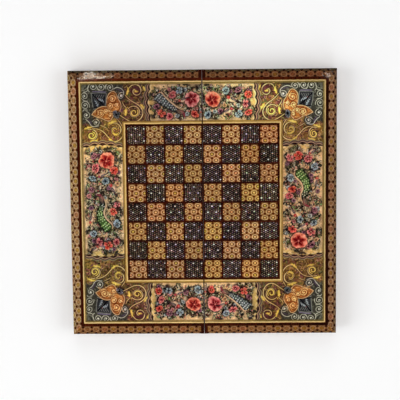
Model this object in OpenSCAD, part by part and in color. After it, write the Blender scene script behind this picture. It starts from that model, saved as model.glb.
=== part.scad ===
// Folding marquetry game board, opened flat with the chess side up.
// Two shallow trays, rims down, hinged along the middle. Millimetres, +Z up.
// X runs across the fold, Y along it. The origin is under the middle of the
// open board, level with the lowest point of the hinge barrels.

/* [Board] */
// Width of the open board, across the fold
board_w = 300; // [290:1:330]
// Depth of the board, along the fold
board_d = 300; // [290:1:330]
// Height of each tray, from its rim to its playing face
half_h = 24; // [20:0.5:32]
// Thickness of an outer wall with its veneer and lining
wall_t = 10; // [9:0.5:12]
// Thickness of the wall beside the fold with its facing and lining
spine_t = 8.6; // [8.6:0.1:10]
// Thickness of the board that carries the playing face
panel_t = 4; // [3:0.5:5]
// Width of the rebate that the panel sits in, on the outer walls
rebate_w = 4; // [3:0.5:4.5]
// Air gap at the fold when the board lies open
seam_gap = 0.3; // [0.2:0.05:0.5]

/* [Veneers] */
// Thickness of every piece that is laid on the playing face
veneer_t = 0.8; // [0.6:0.1:1]
// Thickness of the micromosaic on the outside of the walls
side_veneer_t = 0.8; // [0.6:0.1:1]
// Thickness of the dark facing at the fold
facing_t = 0.6; // [0.5:0.1:0.8]
// Thickness of the lining inside the walls
lining_t = 0.6; // [0.5:0.1:0.8]
// Thickness of the wood laid inside each tray, under the panel
field_t = 0.8; // [0.6:0.1:1]

/* [Bands round the playing face] */
// Width of the micromosaic border
border_w = 9; // [7:0.1:9.5]
// Width of the dark line inside the border
dark_line_w = 3.1; // [2:0.1:4]
// Width of the outer gold line
outer_gold_w = 2.4; // [1.5:0.1:3]
// Width of the gold line round the chess field
inner_gold_w = 2.5; // [1.5:0.1:3]
// Width of each dark block that closes the border at the fold
seam_block_w = 3.2; // [2:0.1:5]

/* [Chess field] */
// Size of a chess square across the fold
square_x = 19.05; // [17:0.05:19.5]
// Size of a chess square along the fold
square_y = 19.7; // [17:0.05:20]
// Width of the dark lines between the squares
grid_line = 2.1; // [1.5:0.1:2.5]
// Width of the dark margin round the squares
grid_margin = 2.2; // [1.5:0.1:3]
// Dark line beside the fold, measured from the middle of the fold
seam_line = 1.35; // [1.3:0.05:1.6]
// How far the chess field lies behind the middle of the board
field_shift = 1.3; // [0:0.1:3]

/* [Points inside the trays] */
// Length of a point, from wall to tip
point_len = 112; // [90:1:120]
// Width of a point at its base, as a share of its pitch
point_share = 0.92; // [0.8:0.01:0.96]

/* [Hinges] */
// Distance of each hinge's middle from the middle of the board
hinge_y = 90; // [70:1:105]
// Length of each hinge
hinge_len = 40; // [30:1:50]
// Outer radius of the hinge barrel
knuckle_r = 1.3; // [1.2:0.05:1.5]
// Radius of the hinge pin
pin_r = 0.6; // [0.5:0.05:0.7]
// Radial running clearance of the pin in the moving leaf
pin_clear = 0.06; // [0.03:0.01:0.1]
// Thickness of a hinge leaf
leaf_t = 0.8; // [0.6:0.1:1]
// Reach of a leaf from the pin into the wall
leaf_w = 7.2; // [6.6:0.1:7.4]
// Gap between neighbouring barrel sections
knuckle_gap = 0.15; // [0.1:0.05:0.3]
// Length of the hinge screws
screw_len = 9; // [7:0.5:12]

/* [Closing magnets] */
// Radius of each disc magnet in the rims
magnet_r = 3; // [2:0.5:3.5]
// Thickness of each disc magnet
magnet_t = 3; // [2:0.5:4]
// Distance of each magnet from the middle of the side wall
magnet_y = 62; // [30:1:100]

/* [Hidden] */

$fn = 48;
eps = 0.01;

// Heights
axis_z = knuckle_r;                 // hinge axis
rim_z = axis_z + seam_gap / 2;      // rims of both trays
top_z = rim_z + half_h;             // playing face
base_z = top_z - veneer_t;          // top of walls and panel
panel_z = base_z - panel_t;         // underside of the panel
field_z = panel_z - field_t;        // underside of the wood in the tray

// Plan of one tray, on the +X side; the left one is its mirror image
X = board_w / 2;
Y = board_d / 2;
seam_x = seam_gap / 2;              // face beside the fold
laid_x = seam_x + facing_t;         // where the laid pieces start
core_x = X - side_veneer_t;         // outer face of the wooden walls
core_y = Y - side_veneer_t;
in_x = X - wall_t + lining_t;       // inner face of the wooden walls
in_y = Y - wall_t + lining_t;
spine_in = seam_x + spine_t - lining_t;
spine_rebate = 3.5;                 // panel's seat on the wall by the fold
panel_x0 = spine_in - spine_rebate;
panel_x1 = in_x + rebate_w;
panel_y = in_y + rebate_w;

// Bands on the playing face, as distances from the middle
bx0 = X - border_w;
by0 = Y - border_w;
dx0 = bx0 - dark_line_w;
dy0 = by0 - dark_line_w;
gx0 = dx0 - outer_gold_w;
gy0 = dy0 - outer_gold_w;
field_w = seam_line + 4 * square_x + 3 * grid_line + grid_margin;
field_h = 8 * square_y + 7 * grid_line + 2 * grid_margin;
fy1 = field_shift + field_h / 2;    // rear edge of the chess field
fy0 = field_shift - field_h / 2;    // front edge of the chess field
pitch_x = square_x + grid_line;
pitch_y = square_y + grid_line;

// Points in the trays
tray_x0 = spine_in + lining_t;
tray_x1 = in_x - lining_t;
tray_y = in_y - lining_t;
point_pitch = (tray_x1 - tray_x0) / 6;

// Hinges
section = hinge_len / 5;
relief_r = knuckle_r + 0.3;
leaf_screw_x = leaf_w - 2.5;
head_r = 1.75;
shank_r = 0.95;
tongue_l = 3;
tongue_t = 4;

// ---- helpers ---------------------------------------------------------

// A flat piece of the playing face between two corners
module laid(x0, y0, x1, y1) {
  translate([x0, y0, base_z]) cube([x1 - x0, y1 - y0, veneer_t]);
}

// A U of three strips round the playing face, open at the fold, in plan
module u_plan(x_in, y_in0, y_in1, x_out, y_out0, y_out1) {
  polygon([
    [laid_x, y_out0], [x_out, y_out0], [x_out, y_out1], [laid_x, y_out1],
    [laid_x, y_in1], [x_in, y_in1], [x_in, y_in0], [laid_x, y_in0]
  ]);
}

module laid_u(x_in, y_in0, y_in1, x_out, y_out0, y_out1) {
  translate([0, 0, base_z]) linear_extrude(veneer_t)
    u_plan(x_in, y_in0, y_in1, x_out, y_out0, y_out1);
}

// The space that the panel fills, used to cut its rebate in the walls
module panel_block() {
  translate([panel_x0, -panel_y, panel_z])
    cube([panel_x1 - panel_x0, 2 * panel_y, panel_t]);
}

module panel_cut() {
  translate([panel_x0, -panel_y, panel_z])
    cube([panel_x1 - panel_x0, 2 * panel_y, panel_t + 1]);
}

// Both hinges' places along the fold
module each_hinge() {
  for (y = [-hinge_y, hinge_y]) translate([0, y, 0]) children();
}

// Everything that a hinge needs cut out of the wood beside the fold
module hinge_cut(screws = true) {
  each_hinge() {
    translate([-1, -hinge_len / 2, rim_z - 1]) cube([leaf_w + 1, hinge_len, leaf_t + 1]);
    translate([0, hinge_len / 2 + knuckle_gap, axis_z]) rotate([90, 0, 0])
      cylinder(r = relief_r, h = hinge_len + 2 * knuckle_gap);
    if (screws) for (y = [-14, 0, 14]) translate([leaf_screw_x, y, rim_z])
      cylinder(r = shank_r + 0.03, h = screw_len + 0.1);
  }
}

// ---- wooden carcass --------------------------------------------------

module side_wall() {
  difference() {
    translate([0, 0, rim_z]) linear_extrude(base_z - rim_z)
      polygon([[core_x, -core_y], [core_x, core_y], [in_x, in_y], [in_x, -in_y]]);
    panel_cut();
    for (y = [-magnet_y, magnet_y])
      translate([(core_x + in_x) / 2, y, rim_z - 1]) cylinder(r = magnet_r + 0.02, h = magnet_t + 1);
  }
}

module end_wall() {
  difference() {
    union() {
      translate([0, 0, rim_z]) linear_extrude(base_z - rim_z)
        polygon([[spine_in, in_y], [in_x, in_y], [core_x, core_y], [spine_in, core_y]]);
      translate([spine_in - tongue_l, (in_y + core_y - tongue_t) / 2, rim_z])
        cube([tongue_l + 1, tongue_t, panel_z - rim_z - 2]);
    }
    panel_cut();
  }
}

module spine_wall() {
  difference() {
    translate([laid_x, -core_y, rim_z]) cube([spine_in - laid_x, 2 * core_y, base_z - rim_z]);
    panel_cut();
    for (s = [0, 1]) mirror([0, s, 0])
      translate([spine_in - tongue_l, (in_y + core_y - tongue_t) / 2, rim_z - 1])
        cube([tongue_l + 1, tongue_t, panel_z - rim_z - 1]);
    hinge_cut();
  }
}

module spine_facing() {
  difference() {
    translate([seam_x, -Y, rim_z]) cube([facing_t, board_d, half_h]);
    hinge_cut(false);
  }
}

// ---- pieces laid on the playing face ---------------------------------

module border_side() {
  translate([0, 0, base_z]) linear_extrude(veneer_t)
    polygon([[X, -Y], [X, Y], [bx0, by0], [bx0, -by0]]);
}

module border_end() {
  translate([0, 0, base_z]) linear_extrude(veneer_t)
    polygon([[laid_x + seam_block_w, by0], [bx0, by0], [X, Y], [laid_x + seam_block_w, Y]]);
}

module seam_blocks() {
  laid(laid_x, by0, laid_x + seam_block_w, Y);
  laid(laid_x, -Y, laid_x + seam_block_w, -by0);
}

module dark_line() { laid_u(dx0, -dy0, dy0, bx0, -by0, by0); }

module outer_gold_line() { laid_u(gx0, -gy0, gy0, dx0, -dy0, dy0); }

module painted_sheet() {
  laid_u(field_w + inner_gold_w, fy0 - inner_gold_w, fy1 + inner_gold_w, gx0, -gy0, gy0);
}

module inner_gold_line() {
  laid_u(field_w, fy0, fy1, field_w + inner_gold_w, fy0 - inner_gold_w, fy1 + inner_gold_w);
}

// One chess square, by its column from the fold and its row from the front
module square_at(col, row, clear = 0) {
  translate([
    seam_line + col * pitch_x,
    fy0 + grid_margin + row * pitch_y,
    base_z - clear
  ]) cube([square_x, square_y, veneer_t + 2 * clear]);
}

module squares(odd) {
  for (col = [0:3], row = [0:7]) if ((col + row) % 2 == odd) square_at(col, row);
}

module square_grid() {
  difference() {
    laid(laid_x, fy0, field_w, fy1);
    for (col = [0:3], row = [0:7]) square_at(col, row, 1);
  }
}

// ---- outer veneers and tray linings ----------------------------------

module side_veneer() {
  translate([0, 0, rim_z]) linear_extrude(base_z - rim_z)
    polygon([[X, -Y], [X, Y], [core_x, core_y], [core_x, -core_y]]);
}

module end_veneers() {
  for (s = [0, 1]) mirror([0, s, 0]) translate([0, 0, rim_z]) linear_extrude(base_z - rim_z)
    polygon([[laid_x, core_y], [core_x, core_y], [X, Y], [laid_x, Y]]);
}

module wall_linings() {
  h = field_z - rim_z;
  g = 0.05;
  translate([tray_x1, -in_y, rim_z]) cube([lining_t, 2 * in_y, h]);
  translate([spine_in, -in_y, rim_z]) cube([lining_t, 2 * in_y, h]);
  for (y = [-in_y, tray_y])
    translate([tray_x0 + g, y, rim_z]) cube([tray_x1 - tray_x0 - 2 * g, lining_t, h]);
}

// One point of the tray, pointing at the middle from the front or the rear
module point_plan(i, rear) {
  cx = tray_x0 + (i + 0.5) * point_pitch;
  w = point_pitch * point_share;
  s = rear ? 1 : -1;
  polygon([[cx - w / 2, s * tray_y], [cx + w / 2, s * tray_y], [cx, s * (tray_y - point_len)]]);
}

module points(odd) {
  translate([0, 0, field_z]) linear_extrude(field_t)
    for (i = [0:5], r = [0, 1]) if ((i + r) % 2 == odd) point_plan(i, r == 1);
}

module tray_field() {
  difference() {
    translate([spine_in, -in_y, field_z]) cube([in_x - spine_in, 2 * in_y, field_t]);
    translate([0, 0, field_z - 1]) linear_extrude(field_t + 2)
      for (i = [0:5], r = [0, 1]) point_plan(i, r == 1);
  }
}

// ---- hinges and magnets ----------------------------------------------

// One barrel section, counted from the front end of the hinge
module knuckle(i, bore) {
  y0 = -hinge_len / 2 + i * section + knuckle_gap / 2;
  difference() {
    translate([0, y0 + section - knuckle_gap, axis_z]) rotate([90, 0, 0])
      cylinder(r = knuckle_r, h = section - knuckle_gap);
    translate([0, y0 + section, axis_z]) rotate([90, 0, 0])
      cylinder(r = bore, h = section + 1);
  }
}

// A leaf with the barrel sections named by own, the rest cut clear of it
module leaf(own, bore) {
  others = [for (i = [0:4]) if (len(search(i, own)) == 0) i];
  difference() {
    union() {
      translate([0, -hinge_len / 2, rim_z]) cube([leaf_w, hinge_len, leaf_t]);
      for (i = own) knuckle(i, bore);
    }
    for (i = others)
      translate([-2, -hinge_len / 2 + i * section - (i == 0 ? 1 : knuckle_gap / 2), 0])
        cube([2 + relief_r, section + (i == 0 || i == 4 ? 1 : 0) + knuckle_gap / (i == 0 || i == 4 ? 2 : 1), 4]);
    for (i = own)
      translate([0, -hinge_len / 2 + i * section - 1, axis_z]) rotate([-90, 0, 0])
        cylinder(r = bore, h = section + 2);
    for (y = [-14, 0, 14]) translate([leaf_screw_x, y, rim_z - eps])
      cylinder(r1 = head_r + 0.06, r2 = shank_r + 0.04, h = leaf_t + 2 * eps);
  }
}

module hinge_leaves(own, bore) { each_hinge() leaf(own, bore); }

module hinge_screws() {
  each_hinge() for (y = [-14, 0, 14]) translate([leaf_screw_x, y, rim_z]) difference() {
    union() {
      cylinder(r1 = head_r, r2 = shank_r, h = leaf_t);
      translate([0, 0, leaf_t]) cylinder(r = shank_r, h = screw_len - leaf_t - 1.5);
      translate([0, 0, screw_len - 1.5]) cylinder(r1 = shank_r, r2 = 0.2, h = 1.5);
    }
    rotate([0, 0, 20 + y * 7]) translate([-3, -0.25, -1]) cube([6, 0.5, 1.4]);
  }
}

module pins() {
  each_hinge() translate([0, hinge_len / 2 - knuckle_gap / 2, axis_z]) rotate([90, 0, 0])
    cylinder(r = pin_r, h = hinge_len - knuckle_gap);
}

module magnets() {
  for (y = [-magnet_y, magnet_y])
    translate([(core_x + in_x) / 2, y, rim_z]) cylinder(r = magnet_r, h = magnet_t);
}

// ---- the two halves --------------------------------------------------

module left() { mirror([1, 0, 0]) children(); }
module front() { mirror([0, 1, 0]) children(); }

module left_side_wall() { color("#8a5a33") left() side_wall(); }
module right_side_wall() { color("#8a5a33") side_wall(); }
module left_rear_wall() { color("#8a5a33") left() end_wall(); }
module right_rear_wall() { color("#8a5a33") end_wall(); }
module left_front_wall() { color("#8a5a33") left() front() end_wall(); }
module right_front_wall() { color("#8a5a33") front() end_wall(); }
module left_spine_wall() { color("#7d4f2c") left() spine_wall(); }
module right_spine_wall() { color("#7d4f2c") spine_wall(); }
module left_panel() { color("#c8a878") left() panel_block(); }
module right_panel() { color("#c8a878") panel_block(); }
module left_border_side() { color("#8c6038") left() border_side(); }
module right_border_side() { color("#8c6038") border_side(); }
module left_border_rear() { color("#8c6038") left() border_end(); }
module right_border_rear() { color("#8c6038") border_end(); }
module left_border_front() { color("#8c6038") left() front() border_end(); }
module right_border_front() { color("#8c6038") front() border_end(); }
module left_seam_blocks() { color("#32100a") left() seam_blocks(); }
module right_seam_blocks() { color("#32100a") seam_blocks(); }
module left_dark_line() { color("#3a140a") left() dark_line(); }
module right_dark_line() { color("#3a140a") dark_line(); }
module left_outer_gold_line() { color("#d8a860") left() outer_gold_line(); }
module right_outer_gold_line() { color("#d8a860") outer_gold_line(); }
module left_painted_sheet() { color("#8a6a42") left() painted_sheet(); }
module right_painted_sheet() { color("#8a6a42") painted_sheet(); }
module left_inner_gold_line() { color("#d8a860") left() inner_gold_line(); }
module right_inner_gold_line() { color("#d8a860") inner_gold_line(); }
module left_square_grid() { color("#3c120a") left() square_grid(); }
module right_square_grid() { color("#3c120a") square_grid(); }
module left_dark_squares() { color("#2e2a28") left() squares(0); }
module right_dark_squares() { color("#2e2a28") squares(1); }
module left_light_squares() { color("#c08a4a") left() squares(1); }
module right_light_squares() { color("#c08a4a") squares(0); }
module left_side_veneer() { color("#8c6038") left() side_veneer(); }
module right_side_veneer() { color("#8c6038") side_veneer(); }
module left_end_veneers() { color("#8c6038") left() end_veneers(); }
module right_end_veneers() { color("#8c6038") end_veneers(); }
module left_spine_facing() { color("#32100a") left() spine_facing(); }
module right_spine_facing() { color("#32100a") spine_facing(); }
module left_wall_linings() { color("#5a2c18") left() wall_linings(); }
module right_wall_linings() { color("#5a2c18") wall_linings(); }
module left_tray_field() { color("#9a6236") left() tray_field(); }
module right_tray_field() { color("#9a6236") tray_field(); }
module left_light_points() { color("#e0b878") left() points(0); }
module right_light_points() { color("#e0b878") points(1); }
module left_dark_points() { color("#43180e") left() points(1); }
module right_dark_points() { color("#43180e") points(0); }
module left_hinge_leaves() { color("#c9a13c") left() hinge_leaves([0, 2, 4], pin_r); }
module right_hinge_leaves() { color("#c9a13c") hinge_leaves([1, 3], pin_r + pin_clear); }
module left_hinge_screws() { color("#d2ad50") left() hinge_screws(); }
module right_hinge_screws() { color("#d2ad50") hinge_screws(); }
module left_magnets() { color("#b8bcc0") left() magnets(); }
module right_magnets() { color("#b8bcc0") magnets(); }
module hinge_pins() { color("#a8853a") pins(); }

left_side_wall();
left_rear_wall();
left_front_wall();
left_spine_wall();
left_panel();
left_border_side();
left_border_rear();
left_border_front();
left_seam_blocks();
left_dark_line();
left_outer_gold_line();
left_painted_sheet();
left_inner_gold_line();
left_square_grid();
left_dark_squares();
left_light_squares();
left_side_veneer();
left_end_veneers();
left_spine_facing();
left_wall_linings();
left_tray_field();
left_light_points();
left_dark_points();
left_hinge_leaves();
left_hinge_screws();
left_magnets();
hinge_pins();
right_side_wall();
right_rear_wall();
right_front_wall();
right_spine_wall();
right_panel();
right_border_side();
right_border_rear();
right_border_front();
right_seam_blocks();
right_dark_line();
right_outer_gold_line();
right_painted_sheet();
right_inner_gold_line();
right_square_grid();
right_dark_squares();
right_light_squares();
right_side_veneer();
right_end_veneers();
right_spine_facing();
right_wall_linings();
right_tray_field();
right_light_points();
right_dark_points();
right_hinge_leaves();
right_hinge_screws();
right_magnets();
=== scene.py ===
import math
import random

import bpy
import numpy as np
from mathutils import Matrix, Vector


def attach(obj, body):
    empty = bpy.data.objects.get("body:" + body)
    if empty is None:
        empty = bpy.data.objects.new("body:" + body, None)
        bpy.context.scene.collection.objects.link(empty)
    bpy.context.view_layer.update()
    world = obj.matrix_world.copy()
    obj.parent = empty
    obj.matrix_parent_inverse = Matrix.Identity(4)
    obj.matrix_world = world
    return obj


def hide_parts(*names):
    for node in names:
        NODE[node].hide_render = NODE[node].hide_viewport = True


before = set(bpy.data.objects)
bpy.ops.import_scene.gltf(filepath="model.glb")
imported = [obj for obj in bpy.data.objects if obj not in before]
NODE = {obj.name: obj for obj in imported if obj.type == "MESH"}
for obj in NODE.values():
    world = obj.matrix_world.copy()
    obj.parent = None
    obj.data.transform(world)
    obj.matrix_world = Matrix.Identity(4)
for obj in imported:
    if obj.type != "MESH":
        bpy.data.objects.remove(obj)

scene = bpy.context.scene
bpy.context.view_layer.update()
MM = 0.001

# ---------------------------------------------------------------- layout, mm
# the same numbers as the construction, in its own frame
HALF = 150.0
SEAM = 0.15
LAID = 0.75
TOP = 25.45
BASE = 24.65
RIM = 1.45
AXIS_Z = 1.3
BORDER, DARK, GOLD_OUT, GOLD_IN = 9.0, 3.1, 2.4, 2.5
B0 = HALF - BORDER
D0 = B0 - DARK
G0 = D0 - GOLD_OUT
SQ_X, SQ_Y, LINE, MARGIN, SEAM_LINE, SHIFT = 19.05, 19.7, 2.1, 2.2, 1.35, 1.3
FW = SEAM_LINE + 4 * SQ_X + 3 * LINE + MARGIN
FH = 8 * SQ_Y + 7 * LINE + 2 * MARGIN
FY0, FY1 = SHIFT - FH / 2, SHIFT + FH / 2
IN_X = FW + GOLD_IN
IN_Y0, IN_Y1 = FY0 - GOLD_IN, FY1 + GOLD_IN


def lin(c):
    """An sRGB colour of 0 to 255 as linear values."""
    out = []
    for v in c:
        v = max(0.0, min(1.0, v / 255.0))
        out.append(v / 12.92 if v <= 0.04045 else ((v + 0.055) / 1.055) ** 2.4)
    return np.array(out)


# ---------------------------------------------------------------- materials
def nodes_of(name):
    m = bpy.data.materials.new(name)
    m.use_nodes = True
    nt = m.node_tree
    nt.nodes.clear()
    out = nt.nodes.new("ShaderNodeOutputMaterial")
    bsdf = nt.nodes.new("ShaderNodeBsdfPrincipled")
    nt.links.new(bsdf.outputs[0], out.inputs[0])
    return m, nt, bsdf


def add(nt, kind, **props):
    n = nt.nodes.new(kind)
    for k, v in props.items():
        setattr(n, k, v)
    return n


def noise(nt, vec, scale, detail=2.0, rough=0.5, distortion=0.0):
    n = add(nt, "ShaderNodeTexNoise")
    n.inputs["Scale"].default_value = scale
    n.inputs["Detail"].default_value = detail
    n.inputs["Roughness"].default_value = rough
    n.inputs["Distortion"].default_value = distortion
    nt.links.new(vec, n.inputs["Vector"])
    return n


def ramp(nt, fac, stops):
    r = add(nt, "ShaderNodeValToRGB")
    while len(r.color_ramp.elements) < len(stops):
        r.color_ramp.elements.new(0.5)
    for e, (p, c) in zip(r.color_ramp.elements, stops):
        e.position = p
        e.color = (*c, 1.0) if len(c) == 3 else c
    nt.links.new(fac, r.inputs[0])
    return r


def to_range(nt, fac, lo, hi, a=0.0, b=1.0):
    r = add(nt, "ShaderNodeMapRange")
    r.inputs["From Min"].default_value = a
    r.inputs["From Max"].default_value = b
    r.inputs["To Min"].default_value = lo
    r.inputs["To Max"].default_value = hi
    nt.links.new(fac, r.inputs["Value"])
    return r


def mult(nt, col, fac_out):
    """col times a grey value."""
    m = add(nt, "ShaderNodeMix", data_type="RGBA", blend_type="MULTIPLY")
    m.inputs["Factor"].default_value = 1.0
    nt.links.new(col, m.inputs[6])
    nt.links.new(fac_out, m.inputs[7])
    return m.outputs[2]


def bump(nt, height, strength, distance, bsdf, socket="Normal"):
    b = add(nt, "ShaderNodeBump")
    b.inputs["Strength"].default_value = strength
    b.inputs["Distance"].default_value = distance
    nt.links.new(height, b.inputs["Height"])
    nt.links.new(b.outputs[0], bsdf.inputs[socket])
    return b


def lacquer(bsdf, coat=1.0, rough=0.03):
    bsdf.inputs["Coat Weight"].default_value = coat
    bsdf.inputs["Coat Roughness"].default_value = rough
    bsdf.inputs["Coat IOR"].default_value = 1.48
    bsdf.inputs["Specular IOR Level"].default_value = 0.0


def lacquered_colour(name, grain=900.0, low=0.80, high=1.18, cloud=0.10, rough=0.5):
    """Pieces whose pattern is in their own faces: paint or little rods of wood, bone and brass under clear lacquer."""
    m, nt, bsdf = nodes_of(name)
    tc = add(nt, "ShaderNodeTexCoord")
    at = add(nt, "ShaderNodeAttribute", attribute_name="Col")
    n1 = noise(nt, tc.outputs["Object"], grain, 3.0, 0.6)
    f1 = to_range(nt, n1.outputs["Fac"], low, high, 0.25, 0.75)
    n2 = noise(nt, tc.outputs["Object"], 28.0, 3.0, 0.55)
    f2 = to_range(nt, n2.outputs["Fac"], 1.0 - cloud, 1.0 + cloud, 0.3, 0.7)
    c = mult(nt, at.outputs["Color"], f1.outputs[0])
    c = mult(nt, c, f2.outputs[0])
    nt.links.new(c, bsdf.inputs["Base Color"])
    r = to_range(nt, n1.outputs["Fac"], rough - 0.08, rough + 0.1, 0.3, 0.7)
    nt.links.new(r.outputs[0], bsdf.inputs["Roughness"])
    lacquer(bsdf)
    w = noise(nt, tc.outputs["Object"], 120.0, 2.0, 0.5)
    bump(nt, w.outputs["Fac"], 0.05, 0.0006, bsdf, "Coat Normal")
    return m


def wood(name, dark, mid, light, along="Y", coarse=1.0, rough=0.42, coat=0.0, pores=0.25, bumpy=0.25):
    """Straight-grained wood, its grain along one axis, with pores and slow changes of tone."""
    m, nt, bsdf = nodes_of(name)
    tc = add(nt, "ShaderNodeTexCoord")
    mp = add(nt, "ShaderNodeMapping")
    s = {"X": (9, 210, 210), "Y": (210, 9, 210), "Z": (210, 210, 9)}[along]
    mp.inputs["Scale"].default_value = tuple(v / coarse for v in s)
    nt.links.new(tc.outputs["Object"], mp.inputs["Vector"])
    n1 = noise(nt, mp.outputs[0], 1.0, 5.0, 0.62, 0.6)
    mp2 = add(nt, "ShaderNodeMapping")
    s2 = {"X": (40, 1500, 1500), "Y": (1500, 40, 1500), "Z": (1500, 1500, 40)}[along]
    mp2.inputs["Scale"].default_value = s2
    nt.links.new(tc.outputs["Object"], mp2.inputs["Vector"])
    n2 = noise(nt, mp2.outputs[0], 1.0, 2.0, 0.5)
    r = ramp(nt, n1.outputs["Fac"], [(0.28, tuple(lin(dark))), (0.5, tuple(lin(mid))), (0.72, tuple(lin(light)))])
    f = to_range(nt, n2.outputs["Fac"], 1.0 - pores, 1.05, 0.35, 0.55)
    nt.links.new(mult(nt, r.outputs[0], f.outputs[0]), bsdf.inputs["Base Color"])
    rr = to_range(nt, n2.outputs["Fac"], rough + 0.12, rough - 0.05, 0.3, 0.7)
    nt.links.new(rr.outputs[0], bsdf.inputs["Roughness"])
    if bumpy:
        bump(nt, n2.outputs["Fac"], bumpy, 0.00012, bsdf)
    if coat:
        lacquer(bsdf, coat)
    return m


def metal(name, base, tarnish, rough=0.28, scale=260.0, scratch=True):
    m, nt, bsdf = nodes_of(name)
    tc = add(nt, "ShaderNodeTexCoord")
    n1 = noise(nt, tc.outputs["Object"], scale, 4.0, 0.6)
    r = ramp(nt, n1.outputs["Fac"], [(0.25, tuple(lin(tarnish))), (0.72, tuple(lin(base)))])
    nt.links.new(r.outputs[0], bsdf.inputs["Base Color"])
    bsdf.inputs["Metallic"].default_value = 1.0
    mp = add(nt, "ShaderNodeMapping")
    mp.inputs["Scale"].default_value = (2600, 160, 900)
    nt.links.new(tc.outputs["Object"], mp.inputs["Vector"])
    n2 = noise(nt, mp.outputs[0], 1.0, 3.0, 0.6)
    rr = to_range(nt, n2.outputs["Fac"], rough - 0.06, rough + 0.1, 0.3, 0.7)
    nt.links.new(rr.outputs[0], bsdf.inputs["Roughness"])
    if scratch:
        bump(nt, n2.outputs["Fac"], 0.08, 0.00002, bsdf)
    return m


MAT_MOSAIC = lacquered_colour("mosaic_lacquered", 1500.0, 0.86, 1.14, 0.08, 0.45)
MAT_SIDE_MOSAIC = lacquered_colour("side_mosaic_lacquered", 1500.0, 0.86, 1.14, 0.08, 0.45)
MAT_PAINT = lacquered_colour("painted_lacquered", 700.0, 0.78, 1.22, 0.12, 0.5)
MAT_DARK = wood("dark_wood_lacquered", (38, 10, 4), (54, 17, 6), (78, 30, 11), "Y", 0.8, 0.4, 1.0, 0.18, 0.0)
MAT_DARK_X = wood("dark_line_lacquered", (36, 9, 4), (52, 16, 6), (74, 28, 10), "X", 0.8, 0.4, 1.0, 0.18, 0.0)
MAT_FACING = wood("facing_dark_wood", (26, 8, 4), (44, 15, 8), (66, 26, 14), "Y", 0.8, 0.42, 0.6, 0.2, 0.15)
MAT_CARCASS = wood("carcass_wood", (96, 56, 28), (132, 82, 44), (160, 106, 62), "Y", 1.0, 0.5, 0.0, 0.3)
MAT_CARCASS_X = wood("carcass_wood_ends", (96, 56, 28), (132, 82, 44), (160, 106, 62), "X", 1.0, 0.5, 0.0, 0.3)
MAT_PLY = wood("plywood", (150, 112, 74), (186, 146, 102), (206, 172, 128), "X", 1.4, 0.6, 0.0, 0.2)
MAT_LINING = wood("lining_veneer", (52, 22, 12), (84, 38, 20), (112, 56, 30), "Y", 0.9, 0.38, 0.35, 0.25)
MAT_FIELD = wood("tray_veneer", (104, 58, 28), (142, 86, 44), (172, 112, 62), "X", 1.2, 0.36, 0.45, 0.25)
MAT_LIGHT_POINT = wood("light_point_veneer", (186, 140, 84), (214, 170, 112), (230, 194, 140), "Y", 0.9, 0.36, 0.45, 0.2)
MAT_DARK_POINT = wood("dark_point_veneer", (34, 12, 8), (56, 21, 13), (80, 34, 20), "Y", 0.9, 0.36, 0.45, 0.25)
MAT_BRASS = metal("hinge_brass", (216, 176, 98), (178, 134, 66), 0.28, 120.0)
MAT_SCREW = metal("screw_brass", (226, 190, 116), (188, 148, 80), 0.2, 400.0)
MAT_PIN = metal("pin_steel", (168, 164, 156), (112, 106, 98), 0.3)
MAT_MAGNET = metal("magnet_nickel", (188, 190, 194), (140, 142, 148), 0.18, scratch=False)


def gold_material(name, stops, inner, outer, shift_x, shift_y):
    """A pale gold line: thin brass and light wood under lacquer, brightest along its middle and a little uneven along its length.
    The line lies between two squares round the middle, which are inner and outer from it, in metres."""
    m, nt, bsdf = nodes_of(name)
    tc = add(nt, "ShaderNodeTexCoord")
    sep = add(nt, "ShaderNodeSeparateXYZ")
    nt.links.new(tc.outputs["Object"], sep.inputs[0])

    def maths(op, a, b=None):
        n = add(nt, "ShaderNodeMath", operation=op)
        for k, q in enumerate((a, b)):
            if isinstance(q, float):
                n.inputs[k].default_value = q
            elif q is not None:
                nt.links.new(q, n.inputs[k])
        return n.outputs[0]

    x = maths("ADD", maths("ABSOLUTE", sep.outputs["X"]), shift_x)
    y = maths("ABSOLUTE", maths("SUBTRACT", sep.outputs["Y"], shift_y))
    n1 = noise(nt, tc.outputs["Object"], 240.0, 3.0, 0.6)
    d = maths("ADD", maths("MAXIMUM", x, y), to_range(nt, n1.outputs["Fac"], -0.0002, 0.0002, 0.3, 0.7).outputs[0])
    across = to_range(nt, d, 0.0, 1.0, inner, outer)
    r = ramp(nt, across.outputs[0], [(p, tuple(lin(c))) for p, c in stops])
    n2 = noise(nt, tc.outputs["Object"], 1400.0, 2.0, 0.5)
    f = to_range(nt, n2.outputs["Fac"], 0.86, 1.10, 0.3, 0.7)
    n3 = noise(nt, tc.outputs["Object"], 60.0, 3.0, 0.6)
    g = to_range(nt, n3.outputs["Fac"], 0.86, 1.12, 0.3, 0.7)
    nt.links.new(mult(nt, mult(nt, r.outputs[0], f.outputs[0]), g.outputs[0]), bsdf.inputs["Base Color"])
    rr = to_range(nt, n2.outputs["Fac"], 0.34, 0.5, 0.3, 0.7)
    nt.links.new(rr.outputs[0], bsdf.inputs["Roughness"])
    bsdf.inputs["Metallic"].default_value = 0.1
    lacquer(bsdf)
    return m


MAT_GOLD = gold_material("gold_line_lacquered", [(0.0, (104, 82, 34)), (0.28, (158, 124, 56)), (0.5, (252, 226, 160)), (0.68, (248, 212, 140)), (0.88, (150, 98, 46)), (1.0, (92, 50, 22))],
                         G0 * MM, D0 * MM, 0.0, 0.0)
MAT_GOLD_IN = gold_material("inner_gold_line_lacquered", [(0.0, (84, 40, 18)), (0.18, (196, 140, 72)), (0.38, (254, 224, 154)), (0.58, (244, 204, 126)), (0.8, (184, 142, 62)), (1.0, (132, 100, 40))],
                            FH / 2 * MM, (FH / 2 + GOLD_IN) * MM, (FH / 2 - FW) * MM, SHIFT * MM)


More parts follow.
